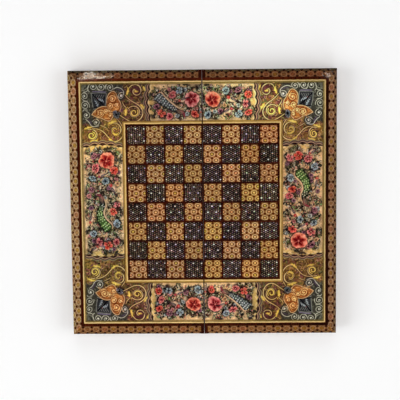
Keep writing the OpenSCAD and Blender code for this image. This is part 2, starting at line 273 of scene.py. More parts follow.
def painted_light_along(mat, terms):
    """Scales a material's colour along the board, to paint light and shade on it. Each term is an axis, two values, and
    where in metres they hold.
    """
    nt = mat.node_tree
    bsdf = next(n for n in nt.nodes if n.type == "BSDF_PRINCIPLED")
    tc = add(nt, "ShaderNodeTexCoord")
    sep = add(nt, "ShaderNodeSeparateXYZ")
    nt.links.new(tc.outputs["Object"], sep.inputs[0])
    c = bsdf.inputs["Base Color"].links[0].from_socket
    for axis, lo, hi, a, b in terms:
        c = mult(nt, c, to_range(nt, sep.outputs[axis], lo, hi, a, b).outputs[0])
    nt.links.new(c, bsdf.inputs["Base Color"])


MAT_LINE = wood("dark_line_red", (40, 10, 3), (56, 17, 5), (80, 30, 9), "Y", 0.8, 0.4, 1.0, 0.18, 0.0)
# painted light and shade: the dark line is painted lighter at the left, darker at the right, and much lighter along the
# rear as a painted sheen
painted_light_along(MAT_LINE, (("X", 1.25, 1.0, -0.13, -0.04), ("X", 1.0, 0.5, 0.02, 0.13), ("Y", 1.0, 1.8, 0.129, 0.135)))
# painted light and shade: the gold lines are painted darker towards the right and lighter towards the front
for gold in (MAT_GOLD, MAT_GOLD_IN):
    painted_light_along(gold, (("X", 1.0, 0.84, 0.05, 0.12), ("Y", 1.17, 1.0, -0.12, -0.06)))
# painted shade: the rear border strips are painted darker towards both rear corners, and the side strips towards their
# rear ends
MAT_MOSAIC_REAR_SHADED, MAT_MOSAIC_SIDE_SHADED = MAT_MOSAIC.copy(), MAT_MOSAIC.copy()
MAT_MOSAIC_REAR_SHADED.name, MAT_MOSAIC_SIDE_SHADED.name = "mosaic_rear_shaded", "mosaic_side_shaded"
painted_light_along(MAT_MOSAIC_REAR_SHADED, (("X", 0.62, 1.0, -0.146, -0.130), ("X", 1.0, 0.76, 0.134, 0.146)))
painted_light_along(MAT_MOSAIC_SIDE_SHADED, (("Y", 1.0, 0.60, 0.133, 0.147),))


def dress(node, mat):
    o = NODE[node]
    if not o.material_slots:
        o.data.materials.append(mat)
    for s in o.material_slots:
        s.material = mat


for side in ("left_", "right_"):
    dress(side + "side_wall", MAT_CARCASS)
    dress(side + "rear_wall", MAT_CARCASS_X)
    dress(side + "front_wall", MAT_CARCASS_X)
    dress(side + "spine_wall", MAT_CARCASS)
    dress(side + "panel", MAT_PLY)
    dress(side + "seam_blocks", MAT_DARK)
    dress(side + "dark_line", MAT_LINE)
    dress(side + "outer_gold_line", MAT_GOLD)
    dress(side + "inner_gold_line", MAT_GOLD_IN)
    dress(side + "square_grid", MAT_DARK_X)
    dress(side + "spine_facing", MAT_FACING)
    dress(side + "wall_linings", MAT_LINING)
    dress(side + "tray_field", MAT_FIELD)
    dress(side + "light_points", MAT_LIGHT_POINT)
    dress(side + "dark_points", MAT_DARK_POINT)
    dress(side + "hinge_leaves", MAT_BRASS)
    dress(side + "hinge_screws", MAT_SCREW)
    dress(side + "magnets", MAT_MAGNET)
dress("hinge_pins", MAT_PIN)


# ---------------------------------------------------------------- slabs
def spread_map(me, flat, n_top, fs, under):
    """A flat layout of a slab's faces: the top fills most of it, the sides lie in rows below it and the underside is small."""
    lay = me.uv_layers.new(name="OFBake")
    p = np.array(flat)
    lo, hi = p.min(0), p.max(0)
    q = (p - lo) / (hi - lo)
    rows, n_side = 4, len(fs) - n_top - 1
    out = []
    for f in fs[:n_top]:
        out += [(0.01 + 0.98 * q[i, 0], 0.18 + 0.81 * q[i, 1]) for i in f]
    per = -(-n_side // rows)
    for k in range(n_side):
        f = fs[n_top + k]
        row, col = k // per, k % per
        x0, x1 = 0.01 + 0.82 * col / per, 0.01 + 0.82 * (col + 1) / per
        y0 = 0.01 + row * 0.04
        if len(f) == 4:
            out += [(x0, y0 + 0.033), (x0, y0), (x1, y0), (x1, y0 + 0.033)]
        else:
            for i in range(len(f)):
                a = 2 * math.pi * i / len(f)
                out.append(((x0 + x1) / 2 + (x1 - x0) / 2 * math.cos(a), y0 + 0.0165 + 0.0165 * math.sin(a)))
    ring = [me.vertices[i].co for i in fs[under]]
    axes = [a for a in range(3) if max(c[a] for c in ring) - min(c[a] for c in ring) > 1e-6][:2]
    for c in ring:
        uv = []
        for a in axes:
            l, h = min(v[a] for v in ring), max(v[a] for v in ring)
            uv.append((c[a] - l) / (h - l))
        out.append((0.85 + 0.14 * uv[0], 0.01 + 0.15 * uv[1]))
    lay.data.foreach_set("uv", np.array(out, np.float32).ravel())


def slab(name, verts, faces, colours, z0, z1, mat, body, node, to3=None, bevel=None):
    """A closed thin piece from a flat net of faces. colours holds one list of corner colours per face.
    to3 places a flat point (u, v, height) in space; bevel gives a flat point's outward direction where its edge is rounded."""
    to3 = to3 or (lambda u, v, h: (u, v, h))
    n = len(verts)
    edges = {}
    for fi, f in enumerate(faces):
        for a, b in zip(f, f[1:] + f[:1]):
            if (b, a) in edges:
                del edges[(b, a)]
            else:
                edges[(a, b)] = fi
    nxt = {}
    for (a, b), fi in edges.items():
        nxt.setdefault(a, []).append((b, fi))
    vs = [to3(u, v, z1) for u, v in verts]
    fs = [list(f) for f in faces]
    cs = [list(c) for c in colours]
    while nxt:
        start = next(iter(nxt))
        loop, owners, a = [], [], start
        while True:
            b, fi = nxt[a].pop()
            if not nxt[a]:
                del nxt[a]
            loop.append(a)
            owners.append(fi)
            a = b
            if a == start or a not in nxt:
                break
        rows = [loop]
        if bevel:
            r, steps = bevel[0], 3
            for k in range(1, steps + 1):
                t = math.pi / 2 * k / steps
                row = []
                for i in loop:
                    dx, dy = bevel[1](*verts[i])
                    if dx or dy:
                        u = verts[i][0] + dx * r * math.sin(t)
                        v = verts[i][1] + dy * r * math.sin(t)
                        row.append(len(vs))
                        vs.append(to3(u, v, z1 - r * (1 - math.cos(t))))
                    else:
                        row.append(None)
                rows.append(row)
        bottom = []
        for i in loop:
            dx, dy = bevel[1](*verts[i]) if bevel else (0, 0)
            r = bevel[0] if bevel else 0
            bottom.append(len(vs))
            vs.append(to3(verts[i][0] + dx * r, verts[i][1] + dy * r, z0))
        m = len(loop)
        for i in range(m):
            j = (i + 1) % m
            colour = cs[owners[i]][0]
            chain_i = [row[i] for row in rows if row[i] is not None] + [bottom[i]]
            chain_j = [row[j] for row in rows if row[j] is not None] + [bottom[j]]
            if len(chain_i) == len(chain_j):
                for k in range(len(chain_i) - 1):
                    fs.append([chain_i[k], chain_i[k + 1], chain_j[k + 1], chain_j[k]])
                    cs.append([colour] * 4)
            else:
                fs.append(chain_i + chain_j[::-1])
                cs.append([colour] * len(fs[-1]))
        fs.append(bottom[::-1])
        cs.append([cs[owners[0]][0]] * m)
        under = len(fs) - 1
    me = bpy.data.meshes.new(name)
    me.from_pydata([(x * MM, y * MM, z * MM) for x, y, z in vs], [], fs)
    at = me.color_attributes.new("Col", "FLOAT_COLOR", "CORNER")
    flat = np.ones((len(me.loops), 4), np.float32)
    flat[:, :3] = np.array([c for f in cs for c in f], np.float32)
    at.data.foreach_set("color", flat.ravel())
    me.materials.append(mat)
    spread_map(me, verts, len(faces), fs, under)
    me.validate()
    me.update()
    o = bpy.data.objects.new(name, me)
    scene.collection.objects.link(o)
    # faces look outwards: the flat net may run either way round
    up = Vector(to3(verts[0][0], verts[0][1], z1)) - Vector(to3(verts[0][0], verts[0][1], z0))
    if me.polygons[0].normal.dot(up) < 0:
        me.flip_normals()
    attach(o, body)
    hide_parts(node)
    return o


# ---------------------------------------------------------------- mosaic
CELL_A, CELL_H, RINGS = 9.35, 6.85, 6


def clip(poly, region):
    """poly cut to a convex region, both counter-clockwise."""
    out = poly
    m = len(region)
    for i in range(m):
        ax, ay = region[i]
        bx, by = region[(i + 1) % m]
        ex, ey = bx - ax, by - ay
        src, out = out, []
        if not src:
            return []
        px, py = src[-1]
        dp = ex * (py - ay) - ey * (px - ax)
        for x, y in src:
            d = ex * (y - ay) - ey * (x - ax)
            if (d >= 0) != (dp >= 0) and abs(d - dp) > 1e-12:
                t = dp / (dp - d)
                out.append((px + (x - px) * t, py + (y - py) * t))
            if d >= 0:
                out.append((x, y))
            px, py, dp = x, y, d
    return out


def mosaic(region, origin, turned, paint, rng, warp=0.10, loose=0.03, a=CELL_A, h=CELL_H):
    """The net of little three-sided rods inside a convex region. Six wedges of rods make each hexagon, and hexagons fill the sheet."""
    xs = [p[0] for p in region]
    ys = [p[1] for p in region]
    cx, cy = origin
    keys, verts, faces, colours = {}, [], [], []
    phase = [rng.uniform(0, 6.28) for _ in range(4)]

    def place(x, y):
        k = (round(x + 0.000017, 4), round(y + 0.000017, 4))
        i = keys.get(k)
        if i is None:
            i = keys[k] = len(verts)
            verts.append(k)
        return i

    def bend(x, y, i=0, j=0):
        dx = warp * math.sin(x * 0.55 + phase[0]) * math.cos(y * 0.4 + phase[1])
        dy = warp * math.sin(y * 0.5 + phase[2]) * math.cos(x * 0.45 + phase[3])
        return x + dx, y + dy

    ring = [(0, h * 2 / 3), (a / 2, h / 3), (a / 2, -h / 3), (0, -h * 2 / 3), (-a / 2, -h / 3), (-a / 2, h / 3)]
    if turned:
        span_u = (min(ys) - cy, max(ys) - cy)
        span_v = (min(xs) - cx, max(xs) - cx)
    else:
        span_u = (min(xs) - cx, max(xs) - cx)
        span_v = (min(ys) - cy, max(ys) - cy)
    j0, j1 = int(span_v[0] // h) - 1, int(span_v[1] // h) + 2
    i0, i1 = int(span_u[0] // a) - 2, int(span_u[1] // a) + 2
    n = RINGS
    jitter = {}
    for j in range(j0, j1 + 1):
        for i in range(i0, i1 + 1):
            hx, hy = (i + 0.5 * (j % 2)) * a, j * h
            if turned:
                gx, gy = cx + hy, cy + hx
            else:
                gx, gy = cx + hx, cy + hy
            if gx < min(xs) - a or gx > max(xs) + a or gy < min(ys) - a or gy > max(ys) + a:
                continue
            cell = {"seed": rng.random(), "seed2": rng.random(), "i": i, "j": j}
            for s in range(6):
                bx, by = ring[s]
                ex, ey = ring[(s + 1) % 6]

                def p(k, m):
                    x = hx + (bx * (k - m) + ex * m) / n
                    y = hy + (by * (k - m) + ey * m) / n
                    key = (round(x + 0.00017, 3), round(y + 0.00017, 3))
                    q = jitter.get(key)
                    if q is None:
                        q = (x + rng.uniform(-loose, loose), y + rng.uniform(-loose, loose))
                        jitter[key] = q
                    x, y = q
                    if turned:
                        x, y = y, x
                    return bend(cx + x, cy + y)

                for k in range(n):
                    for m in range(k + 1):
                        tris = [("out", (p(k, m), p(k + 1, m), p(k + 1, m + 1)))]
                        if m < k:
                            tris.append(("in", (p(k, m), p(k + 1, m + 1), p(k, m + 1))))
                        for kind, t in tris:
                            area = (t[1][0] - t[0][0]) * (t[2][1] - t[0][1]) - (t[1][1] - t[0][1]) * (t[2][0] - t[0][0])
                            t = list(t) if area > 0 else [t[0], t[2], t[1]]
                            q = clip(t, region)
                            if len(q) < 3:
                                continue
                            ids = []
                            for v in q:
                                w = place(*v)
                                if not ids or (ids[-1] != w and ids[0] != w):
                                    ids.append(w)
                            if len(ids) < 3 or len(set(ids)) < len(ids):
                                continue
                            c = paint(k, m, s, kind, cell, rng)
                            faces.append(ids)
                            colours.append([c] * len(ids))
    return verts, faces, colours


def shade(c, rng, amount=0.07):
    f = 1 + rng.uniform(-amount, amount)
    return tuple(float(v) * f for v in lin(c))


def paint_light(tint=(1, 1, 1)):
    """Gold discs in a brown and a cream ring on tan, with dark brown stars where hexagons meet."""
    def f(k, m, s, kind, cell, rng):
        warm = cell["seed"]
        if kind == "out" and k == 5 and m in (0, 5):
            c = (70, 22, 8) if cell["seed2"] < 0.8 else (84, 12, 22)
        elif kind == "in" and k == 5 and m in (0, 4):
            c = (92, 38, 14)
        elif kind == "out" and k == 4 and m in (0, 4):
            c = (128, 66, 28)
        elif k == 0:
            c = (246, 212, 148)
        elif k == 1:
            c = (226, 180, 106) if kind == "in" else (192, 138, 64)
        elif k == 2:
            c = (84, 34, 8) if kind == "out" else (114, 58, 18)
        elif k == 3:
            c = (252, 218, 164) if kind == "out" else (226, 182, 126)
        elif k == 4:
            c = (186, 132, 78) if kind == "out" else (150, 94, 48)
        else:
            c = (138, 82, 38) if kind == "out" else (194, 146, 92)
        if k < 3:
            if warm > 0.8:
                c = (c[0] * 1.0, c[1] * 0.88, c[2] * 0.92)
            elif warm < 0.3:
                c = (c[0] * 0.90, c[1] * 0.93, c[2] * 0.66)
        w = 1 + 0.07 * math.sin(warm * 89 + s * 2.4)
        c = tuple(v * t * w for v, t in zip(c, tint))
        return shade(c, rng, 0.14)
    return f


def paint_dark(tint=(1, 1, 1)):
    """A white star in the middle of each hexagon, and small grey stars in rows on black."""
    def f(k, m, s, kind, cell, rng):
        three = ((k, m), (k + 1, m), (k + 1, m + 1)) if kind == "out" else ((k, m), (k + 1, m + 1), (k, m + 1))
        star = [(p, q) for p, q in three if (p - q) % 3 == 0 and q % 3 == 0]
        if k == 0:
            c = (238, 232, 222)
        elif k == 1 and kind == "in":
            c = (120, 104, 94)
        elif star:
            p, q = star[0]
            w = random.Random(int(cell["seed"] * 9999) + 97 * p + 13 * q + 7 * (s if q else 0))
            w = w.choice((0.45, 0.8, 0.95, 1.05, 1.2, 1.4))
            c = (114 * w, 96 * w, 81 * w)
        else:
            c = (19, 10, 10)
        r = rng.random()
        if r < 0.08:
            c = (c[0] * 0.72, c[1] * 1.02, c[2] * 0.74)
        elif r < 0.2:
            c = (c[0] * 0.86, c[1] * 0.80, c[2] * 1.3)
        elif r < 0.26:
            c = (c[0] * 1.25, c[1] * 0.8, c[2] * 0.66)
        c = tuple(v * t for v, t in zip(c, tint))
        return shade(c, rng, 0.28)
    return f


def paint_border(tint=(1, 1, 1), evened=0.0, beside=None):
    """Round pale motifs with a brown ring in them, on dark brown with near-black stars. evened draws the tones together
    towards a mid brown.
    beside scales the motifs next to the middle row; without it that part is plain dark brown."""
    def f(k, m, s, kind, cell, rng):
        if cell["j"] and beside is None:
            c = (84, 56, 36) if kind == "out" else (60, 34, 20)
        elif kind == "out" and k == 5 and m in (0, 5):
            c = (36, 8, 2)
        elif kind == "in" and k == 5 and m in (0, 4):
            c = (46, 14, 5)
        elif kind == "out" and k == 4 and m in (0, 4):
            c = (70, 28, 12)
        elif k == 0:
            c = (150, 104, 60)
        elif k == 1:
            c = (160, 116, 74) if kind == "in" else (124, 80, 46)
        elif k == 2:
            c = (106, 66, 40) if kind == "out" else (150, 112, 78)
        elif k == 3:
            c = (192, 160, 126) if kind == "out" else (164, 128, 94)
        elif k == 4:
            c = (154, 118, 86) if kind == "out" else (132, 94, 64)
        else:
            c = (122, 78, 49) if kind == "out" else (146, 104, 71)
        if cell["seed"] < 0.3 and k < 3:
            c = (c[0] * 1.05, c[1] * 1.08, c[2] * 0.72)
        elif cell["seed"] > 0.78 and k < 4:
            c = (c[0] * 1.03, c[1] * 0.92, c[2] * 0.95)
        # the six wedges of a motif are never quite the same tone
        w = 1 + 0.10 * math.sin(cell["seed"] * 97 + s * 2.4)
        c = (c[0] * w, c[1] * w, c[2] * w)
        c = tuple((v * (1 - evened) + mean * evened) * t for v, mean, t in zip(c, (110, 74, 46), tint))
        if cell["j"] and beside is not None:
            c = tuple(v * b for v, b in zip(c, beside))
        return shade(c, rng, 0.13)
    return f


# ---------------------------------------------------------------- chess squares
# which light squares have one ring in the middle row ("A") and which have two ("B"), seen from the front left
def square_name(col, row):
    return "abcdefgh"[col] + str(row + 1)


def build_squares():
    for col in range(8):
        right = col >= 4
        for row in range(8):
            k = col - 4 if right else 3 - col
            x0 = SEAM_LINE + k * (SQ_X + LINE)
            x1 = x0 + SQ_X
            if not right:
                x0, x1 = -x1, -x0
            y0 = FY0 + MARGIN + row * (SQ_Y + LINE)
            y1 = y0 + SQ_Y
            dark = (col + row) % 2 == 1
            rng = random.Random(1000 + col * 17 + row * 131)
            mx, my = (x0 + x1) / 2, (y0 + y1) / 2
            sx = rng.uniform(-1.0, 0.8)
            sy = rng.uniform(-0.5, 0.4)
            two = dark or row == 7 and not right or row in (4, 5) and right or (not dark and row < 4 and rng.random() < 0.4)
            origin = (mx + sx + (CELL_A / 2 if two else 0.0), my + sy)
            g = 1 + rng.uniform(-0.07, 0.07)
            if dark:
                tint = (g, g * (1 + rng.uniform(-0.03, 0.02)), g * (1 + rng.uniform(-0.04, 0.05)))
                if col < 2 and row == 7:
                    tint = tuple(1.12 * t for t in tint)
                paint = paint_dark(tint)
            else:
                g *= 0.965
                tint = (g * 0.975 * (1 + rng.uniform(-0.02, 0.04)), g * 0.96 * (1 + rng.uniform(-0.04, 0.03)), g * 0.92 * (1 + rng.uniform(-0.1, 0.06)))
                paint = paint_light(tint)
            region = [(x0, y0), (x1, y0), (x1, y1), (x0, y1)]
            v, f, c = mosaic(region, origin, False, paint, rng, loose=0.06 if dark else 0.04)
            side = "right" if right else "left"
            tone = "dark" if dark else "light"
            slab(f"square_{square_name(col, row)}", v, f, c, BASE, TOP, MAT_MOSAIC, side + "_half",
                 f"{side}_{tone}_squares")


# ---------------------------------------------------------------- border strips
BEVEL = 0.7


def edge_dir(x, y):
    return (
        (1 if x > 0 else -1) if abs(x) > HALF - BEVEL - 1e-3 else 0,
        (1 if y > 0 else -1) if abs(y) > HALF - BEVEL - 1e-3 else 0,
    )


EDGE_A, EDGE_H = 9.95, 6.6


def stretches(a, b, most=58.0):
    """Equal lengths of at most this many mm from a to b."""
    n = int(math.ceil((b - a) / most))
    return [(a + (b - a) * i / n, a + (b - a) * (i + 1) / n) for i in range(n)]


def build_borders():
    e = HALF - BEVEL
    for side, sg in (("left", -1), ("right", 1)):
        # painted light and shade: the left strip is painted lighter with its tones evened, a painted sheen, and the
        # right strip a little darker, painted shade; beside does the same to the rows next to the middle row
        tint, evened = ((1.18, 1.25, 1.24), 0.18) if side == "left" else ((0.97, 0.96, 0.94), 0.08)
        beside = (0.96, 1.0, 0.98) if side == "left" else (0.80, 0.84, 0.84)
        # side strip in lengths that meet end to end, mitred at the corners
        parts = stretches(-HALF, HALF)
        for n, (ya, yb) in enumerate(parts):
            pa = -e if n == 0 else ya
            pb = e if n == len(parts) - 1 else yb
            ia = -B0 if n == 0 else ya
            ib = B0 if n == len(parts) - 1 else yb
            region = [(sg * B0, ia), (sg * e, pa), (sg * e, pb), (sg * B0, ib)]
            if sg < 0:
                region = region[::-1]
            rng = random.Random(7 + n + (50 if sg > 0 else 0))
            # each side is laid in two lengths of mosaic, front and rear, that don't quite meet in step
            start = {"left": (-72.4, 66.6), "right": (-70.6, 68.4)}[side][ya + yb > 0]
            v, f, c = mosaic(region, (sg * (HALF - (6.5 if sg < 0 else 6.2)), start), True, paint_border(tint, evened, beside), rng, a=10.05, h=EDGE_H)
            slab(f"{side}_border_side_{n + 1}", v, f, c, BASE, TOP, MAT_MOSAIC_SIDE_SHADED, side + "_half",
                 side + "_border_side", bevel=(BEVEL, edge_dir))
        for end, se in (("rear", 1), ("front", -1)):
            # painted shade: the rear strips are painted much darker and the front ones a little darker, with the rows
            # beside the middle row the same
            end_shade_tint = (0.79, 0.71, 0.62) if end == "rear" else (0.96, 0.89, 0.78)
            beside = (0.62, 0.74, 0.74) if end == "rear" else (0.90, 0.98, 0.98)
            x_in = LAID + 3.2
            parts = stretches(x_in, HALF)
            for n, (xa, xb) in enumerate(parts):
                last = n == len(parts) - 1
                region = [(sg * xa, se * B0), (sg * (B0 if last else xb), se * B0), (sg * (e if last else xb), se * e), (sg * xa, se * e)]
                if sg * se < 0:
                    region = region[::-1]
                rng = random.Random(90 + n + (3 if sg > 0 else 0) + (11 if se > 0 else 0))
                start = {("left", 1): -74.4, ("right", 1): 71.4, ("left", -1): -74.1, ("right", -1): 73.8}[side, se]
                v, f, c = mosaic(region, (start, se * (HALF - (6.2 if se > 0 else 5.7))), False, paint_border(end_shade_tint, 0.1, beside), rng, a=9.86 if se > 0 else 9.99, h=EDGE_H)
                slab(f"{side}_border_{end}_{n + 1}", v, f, c, BASE, TOP, MAT_MOSAIC_REAR_SHADED if se > 0 else MAT_MOSAIC, side + "_half",
                     f"{side}_border_{end}", bevel=(BEVEL, edge_dir))


# ---------------------------------------------------------------- mosaic on the outer walls
def build_wall_mosaics():
    """Outer walls: a field of hexagons between two narrow bands of dark wood and pale bone."""
    z_lo, z_hi = RIM, BASE
    bands = ((z_lo, z_lo + 1.5, (58, 20, 9)), (z_lo + 1.5, z_lo + 2.3, (214, 184, 132)),
             (z_hi - 1.9, z_hi - 1.1, (214, 184, 132)), (z_hi - 1.1, z_hi, (58, 20, 9)))
    f0, f1 = z_lo + 2.3, z_hi - 1.9
    mid = (f0 + f1) / 2

    def field(u0, u1, seed):
        rng = random.Random(seed)
        region = [(u0, f0), (u1, f0), (u1, f1), (u0, f1)]
        v, f, c = mosaic(region, (0.0, mid), False, paint_border((1.08, 1.04, 1.0)), rng, warp=0.05, a=EDGE_A, h=EDGE_H)
        for za, zb, col in bands:
            n = max(1, int((u1 - u0) / 6))
            for i in range(n):
                ua, ub = u0 + (u1 - u0) * i / n, u0 + (u1 - u0) * (i + 1) / n
                k = len(v)
                v += [(ua, za), (ub, za), (ub, zb), (ua, zb)]
                f.append([k, k + 1, k + 2, k + 3])
                c.append([shade(col, rng, 0.1)] * 4)
        return weld(v, f, c)

    def weld(v, f, c):
        """Points in the same place become one, and a band's long edge takes up the points that lie on it."""
        on = {}
        for i, (x, y) in enumerate(v):
            on.setdefault((round(x, 3), round(y, 3)), []).append(i)
        new, ids = [], {}
        for key, group in on.items():
            for i in group:
                ids[i] = len(new)
            new.append(key)
        rows = {}
        for i, (x, y) in enumerate(new):
            rows.setdefault(y, []).append((x, i))
        for r in rows.values():
            r.sort()
        ff, cc = [], []
        for face, col in zip(f, c):
            q = [ids[i] for i in face]
            q = [i for k, i in enumerate(q) if i != q[k - 1]]
            if len(set(q)) < 3 or len(set(q)) < len(q):
                continue
            out = []
            for a, b in zip(q, q[1:] + q[:1]):
                if not out or out[-1] != a:
                    out.append(a)
                (xa, ya), (xb, yb) = new[a], new[b]
                if ya == yb:
                    between = [i for x, i in rows[ya] if min(xa, xb) < x < max(xa, xb)]
                    out += between if xb > xa else between[::-1]
            ff.append(out)
            cc.append([col[0]] * len(out))
        return new, ff, cc

    for side, sg in (("left", -1), ("right", 1)):
        for n, (ua, ub) in enumerate(stretches(-HALF, HALF)):
            v, f, c = field(ua, ub, 300 + n + (9 if sg > 0 else 0))

            def to3(u, z, h, sg=sg):
                # the back of the sheet is mitred at the corners
                uu = max(-HALF + (0.8 - h), min(HALF - (0.8 - h), u))
                return (sg * (HALF - 0.8 + h), uu, z)

            slab(f"{side}_side_mosaic_{n + 1}", v, f, c, 0.0, 0.8, MAT_SIDE_MOSAIC, side + "_half",
                 side + "_side_veneer", to3=to3)
        for end, se in (("rear", 1), ("front", -1)):
            for n, (ua, ub) in enumerate(stretches(LAID, HALF)):
                v, f, c = field(ua, ub, 340 + n + (9 if sg > 0 else 0) + (20 if se > 0 else 0))

                def to3(u, z, h, sg=sg, se=se):
                    uu = min(HALF - (0.8 - h), u)
                    return (sg * uu, se * (HALF - 0.8 + h), z)

                slab(f"{side}_{end}_mosaic_{n + 1}", v, f, c, 0.0, 0.8, MAT_SIDE_MOSAIC, side + "_half",
                     side + "_end_veneers", to3=to3)


# ---------------------------------------------------------------- painting
def cloud(x, y, size, seed):
    """Smooth random values of 0 to 1, size mm from one to the next."""
    g = np.random.RandomState(seed).rand(97, 89)
    u, v = x / size + 500.0, y / size + 500.0
    i, j = np.floor(u).astype(int), np.floor(v).astype(int)
    fu, fv = u - i, v - j
    fu, fv = fu * fu * (3 - 2 * fu), fv * fv * (3 - 2 * fv)
    a, b = g[i % 97, j % 89], g[(i + 1) % 97, j % 89]
    c, d = g[i % 97, (j + 1) % 89], g[(i + 1) % 97, (j + 1) % 89]
    return (a * (1 - fu) + b * fu) * (1 - fv) + (c * (1 - fu) + d * fu) * fv


def through(points, closed=False, per=6):
    """A smooth curve through points."""
    p = np.array(points, float)
    n = len(p)
    if n < 3:
        return p
    out = []
    for i in range(n if closed else n - 1):
        if closed:
            a, b, c, d = p[(i - 1) % n], p[i], p[(i + 1) % n], p[(i + 2) % n]
        else:
            b, c = p[i], p[i + 1]
            a = p[i - 1] if i else 2 * b - c
            d = p[i + 2] if i + 2 < n else 2 * c - b
        for k in range(per):
            t = k / per
            out.append(0.5 * (2 * b + (c - a) * t + (2 * a - 5 * b + 4 * c - d) * t * t + (3 * b - a - 3 * c + d) * t ** 3))
    if not closed:
        out.append(p[-1])
    return np.array(out)


def coil(cx, cy, r, turns, start, way=1, inner=0.18):
    """Points along a scroll, from its outer end in to its eye. start is in degrees, and way is 1 or -1."""
    n = max(8, int(turns * 18))
    out = []
    for i in range(n + 1):
        t = i / n
        a = math.radians(start) + way * t * turns * 2 * math.pi
        q = r * ((1 - t) ** 0.85 * (1 - inner) + inner)
        out.append((cx + q * math.cos(a), cy + q * math.sin(a)))
    return out


class Sheet:
    """The painted sheet. Colours are sRGB of 0 to 255, places are mm."""

    def __init__(self, half, step):
        n = int(round(2 * half / step)) + 1
        self.half, self.step = half, 2 * half / (n - 1)
        axis = np.linspace(-half, half, n)
        self.x, self.y = np.meshgrid(axis, axis)
        self.img = np.zeros((n, n, 3))
        self.mask = None
        self.place = lambda p: p
        self.scale = 1.0

    def window(self, p, pad):
        n = self.x.shape[0]
        lo = np.floor((p.min(0) - pad + self.half) / self.step).astype(int)
        hi = np.ceil((p.max(0) + pad + self.half) / self.step).astype(int) + 1
        lo, hi = np.clip(lo, 0, n), np.clip(hi, 0, n)
        if lo[0] >= hi[0] or lo[1] >= hi[1]:
            return None
        return slice(lo[1], hi[1]), slice(lo[0], hi[0])

    def lay(self, win, cover, colour):
        if self.mask is not None:
            cover = cover * self.mask[win]
        self.img[win] += (colour - self.img[win]) * cover[..., None]

    def fill(self, points, colour, rim=None, fade=0.8, alpha=1.0, soft=0.35, closed=True):
        """A filled outline. rim is its colour at the edge, which turns to colour over fade mm."""
        p = self.place(np.array(points, float))
        win = self.window(p, soft)
        if win is None:
            return
        x, y = self.x[win][None], self.y[win][None]
        q = np.roll(p, -1, 0)
        e = (q - p)[:, :, None, None]
        wx, wy = x - p[:, 0, None, None], y - p[:, 1, None, None]
        length = np.maximum(e[:, 0] ** 2 + e[:, 1] ** 2, 1e-9)
        t = np.clip((wx * e[:, 0] + wy * e[:, 1]) / length, 0, 1)
        d = np.sqrt(((wx - t * e[:, 0]) ** 2 + (wy - t * e[:, 1]) ** 2).min(0))
        y0, y1 = p[:, 1, None, None], q[:, 1, None, None]
        over = (y0 <= y) != (y1 <= y)
        dy = np.where(y1 == y0, 1, y1 - y0)
        left = x < p[:, 0, None, None] + (y - y0) / dy * e[:, 0]
        inside = (over & left).sum(0) % 2 == 1
        d = np.where(inside, d, -d)
        cover = np.clip(0.5 + d / soft, 0, 1) * alpha
        colour = np.array(colour, float)
        if rim is not None:
            m = np.clip(d / fade, 0, 1)[..., None]
            colour = np.array(rim, float) * (1 - m) + colour * m
        self.lay(win, cover, colour)

    def stroke(self, points, width, colour, heart=None, taper=None, alpha=1.0, soft=0.3):
        """A brush line. heart is its colour along the middle, and taper gives its width at both ends as shares."""
        p = self.place(np.array(points, float))
        n = len(p)
        s = np.concatenate([[0], np.cumsum(np.hypot(*(p[1:] - p[:-1]).T))])
        s = s / max(s[-1], 1e-9)
        w = np.full(n, width / 2.0)
        if taper:
            a, b = taper
            w *= np.minimum(1, a + (1 - a) * np.minimum(1, s / 0.35)) * np.minimum(1, b + (1 - b) * np.minimum(1, (1 - s) / 0.35))
        win = self.window(p, width / 2 + soft)
        if win is None:
            return
        best = np.full(self.x[win].shape, -9.0)
        r0, c0 = win[0].start, win[1].start
        for k in range(0, n - 1, 6):
            a = p[k:k + 7]
            sub = self.window(a, width / 2 + soft)
            if sub is None or len(a) < 2:
                continue
            x, y = self.x[sub][None], self.y[sub][None]
            e = (a[1:] - a[:-1])[:, :, None, None]
            wx, wy = x - a[:-1, 0, None, None], y - a[:-1, 1, None, None]
            t = np.clip((wx * e[:, 0] + wy * e[:, 1]) / np.maximum(e[:, 0] ** 2 + e[:, 1] ** 2, 1e-9), 0, 1)
            ww = w[k:k + len(a) - 1][:, None, None] * (1 - t) + w[k + 1:k + len(a)][:, None, None] * t
            d = (ww - np.sqrt((wx - t * e[:, 0]) ** 2 + (wy - t * e[:, 1]) ** 2)).max(0)
            view = best[sub[0].start - r0:sub[0].stop - r0, sub[1].start - c0:sub[1].stop - c0]
            np.maximum(view, d, out=view)
        cover = np.clip(0.5 + best / soft, 0, 1) * alpha
        colour = np.array(colour, float)
        if heart is not None:
            m = np.clip(best / (width * 0.32), 0, 1)[..., None]
            colour = colour * (1 - m) + np.array(heart, float) * m
        self.lay(win, cover, colour)

    def dot(self, x, y, r, colour, alpha=1.0, soft=0.35, rim=None):
        p = self.place(np.array([[x, y]], float))
        win = self.window(p, r + soft)
        if win is None:
            return
        d = r - np.hypot(self.x[win] - p[0, 0], self.y[win] - p[0, 1])
        colour = np.array(colour, float)
        if rim is not None:
            m = np.clip(d / (r * 0.7), 0, 1)[..., None]
            colour = np.array(rim, float) * (1 - m) + colour * m
        self.lay(win, np.clip(0.5 + d / soft, 0, 1) * alpha, colour)


def vary(c, rng, amount=12):
    f = rng.uniform(-amount, amount)
    return tuple(max(0, min(255, v + f + rng.uniform(-amount, amount) * 0.4)) for v in c)


def turn(points, angle, x=0.0, y=0.0, size=1.0, flip=False):
    """Points turned by angle in degrees, scaled and moved."""
    c, s = math.cos(math.radians(angle)), math.sin(math.radians(angle))
    out = []
    for a, b in points:
        a, b = a * size, (-b if flip else b) * size
        out.append((x + a * c - b * s, y + a * s + b * c))
    return out


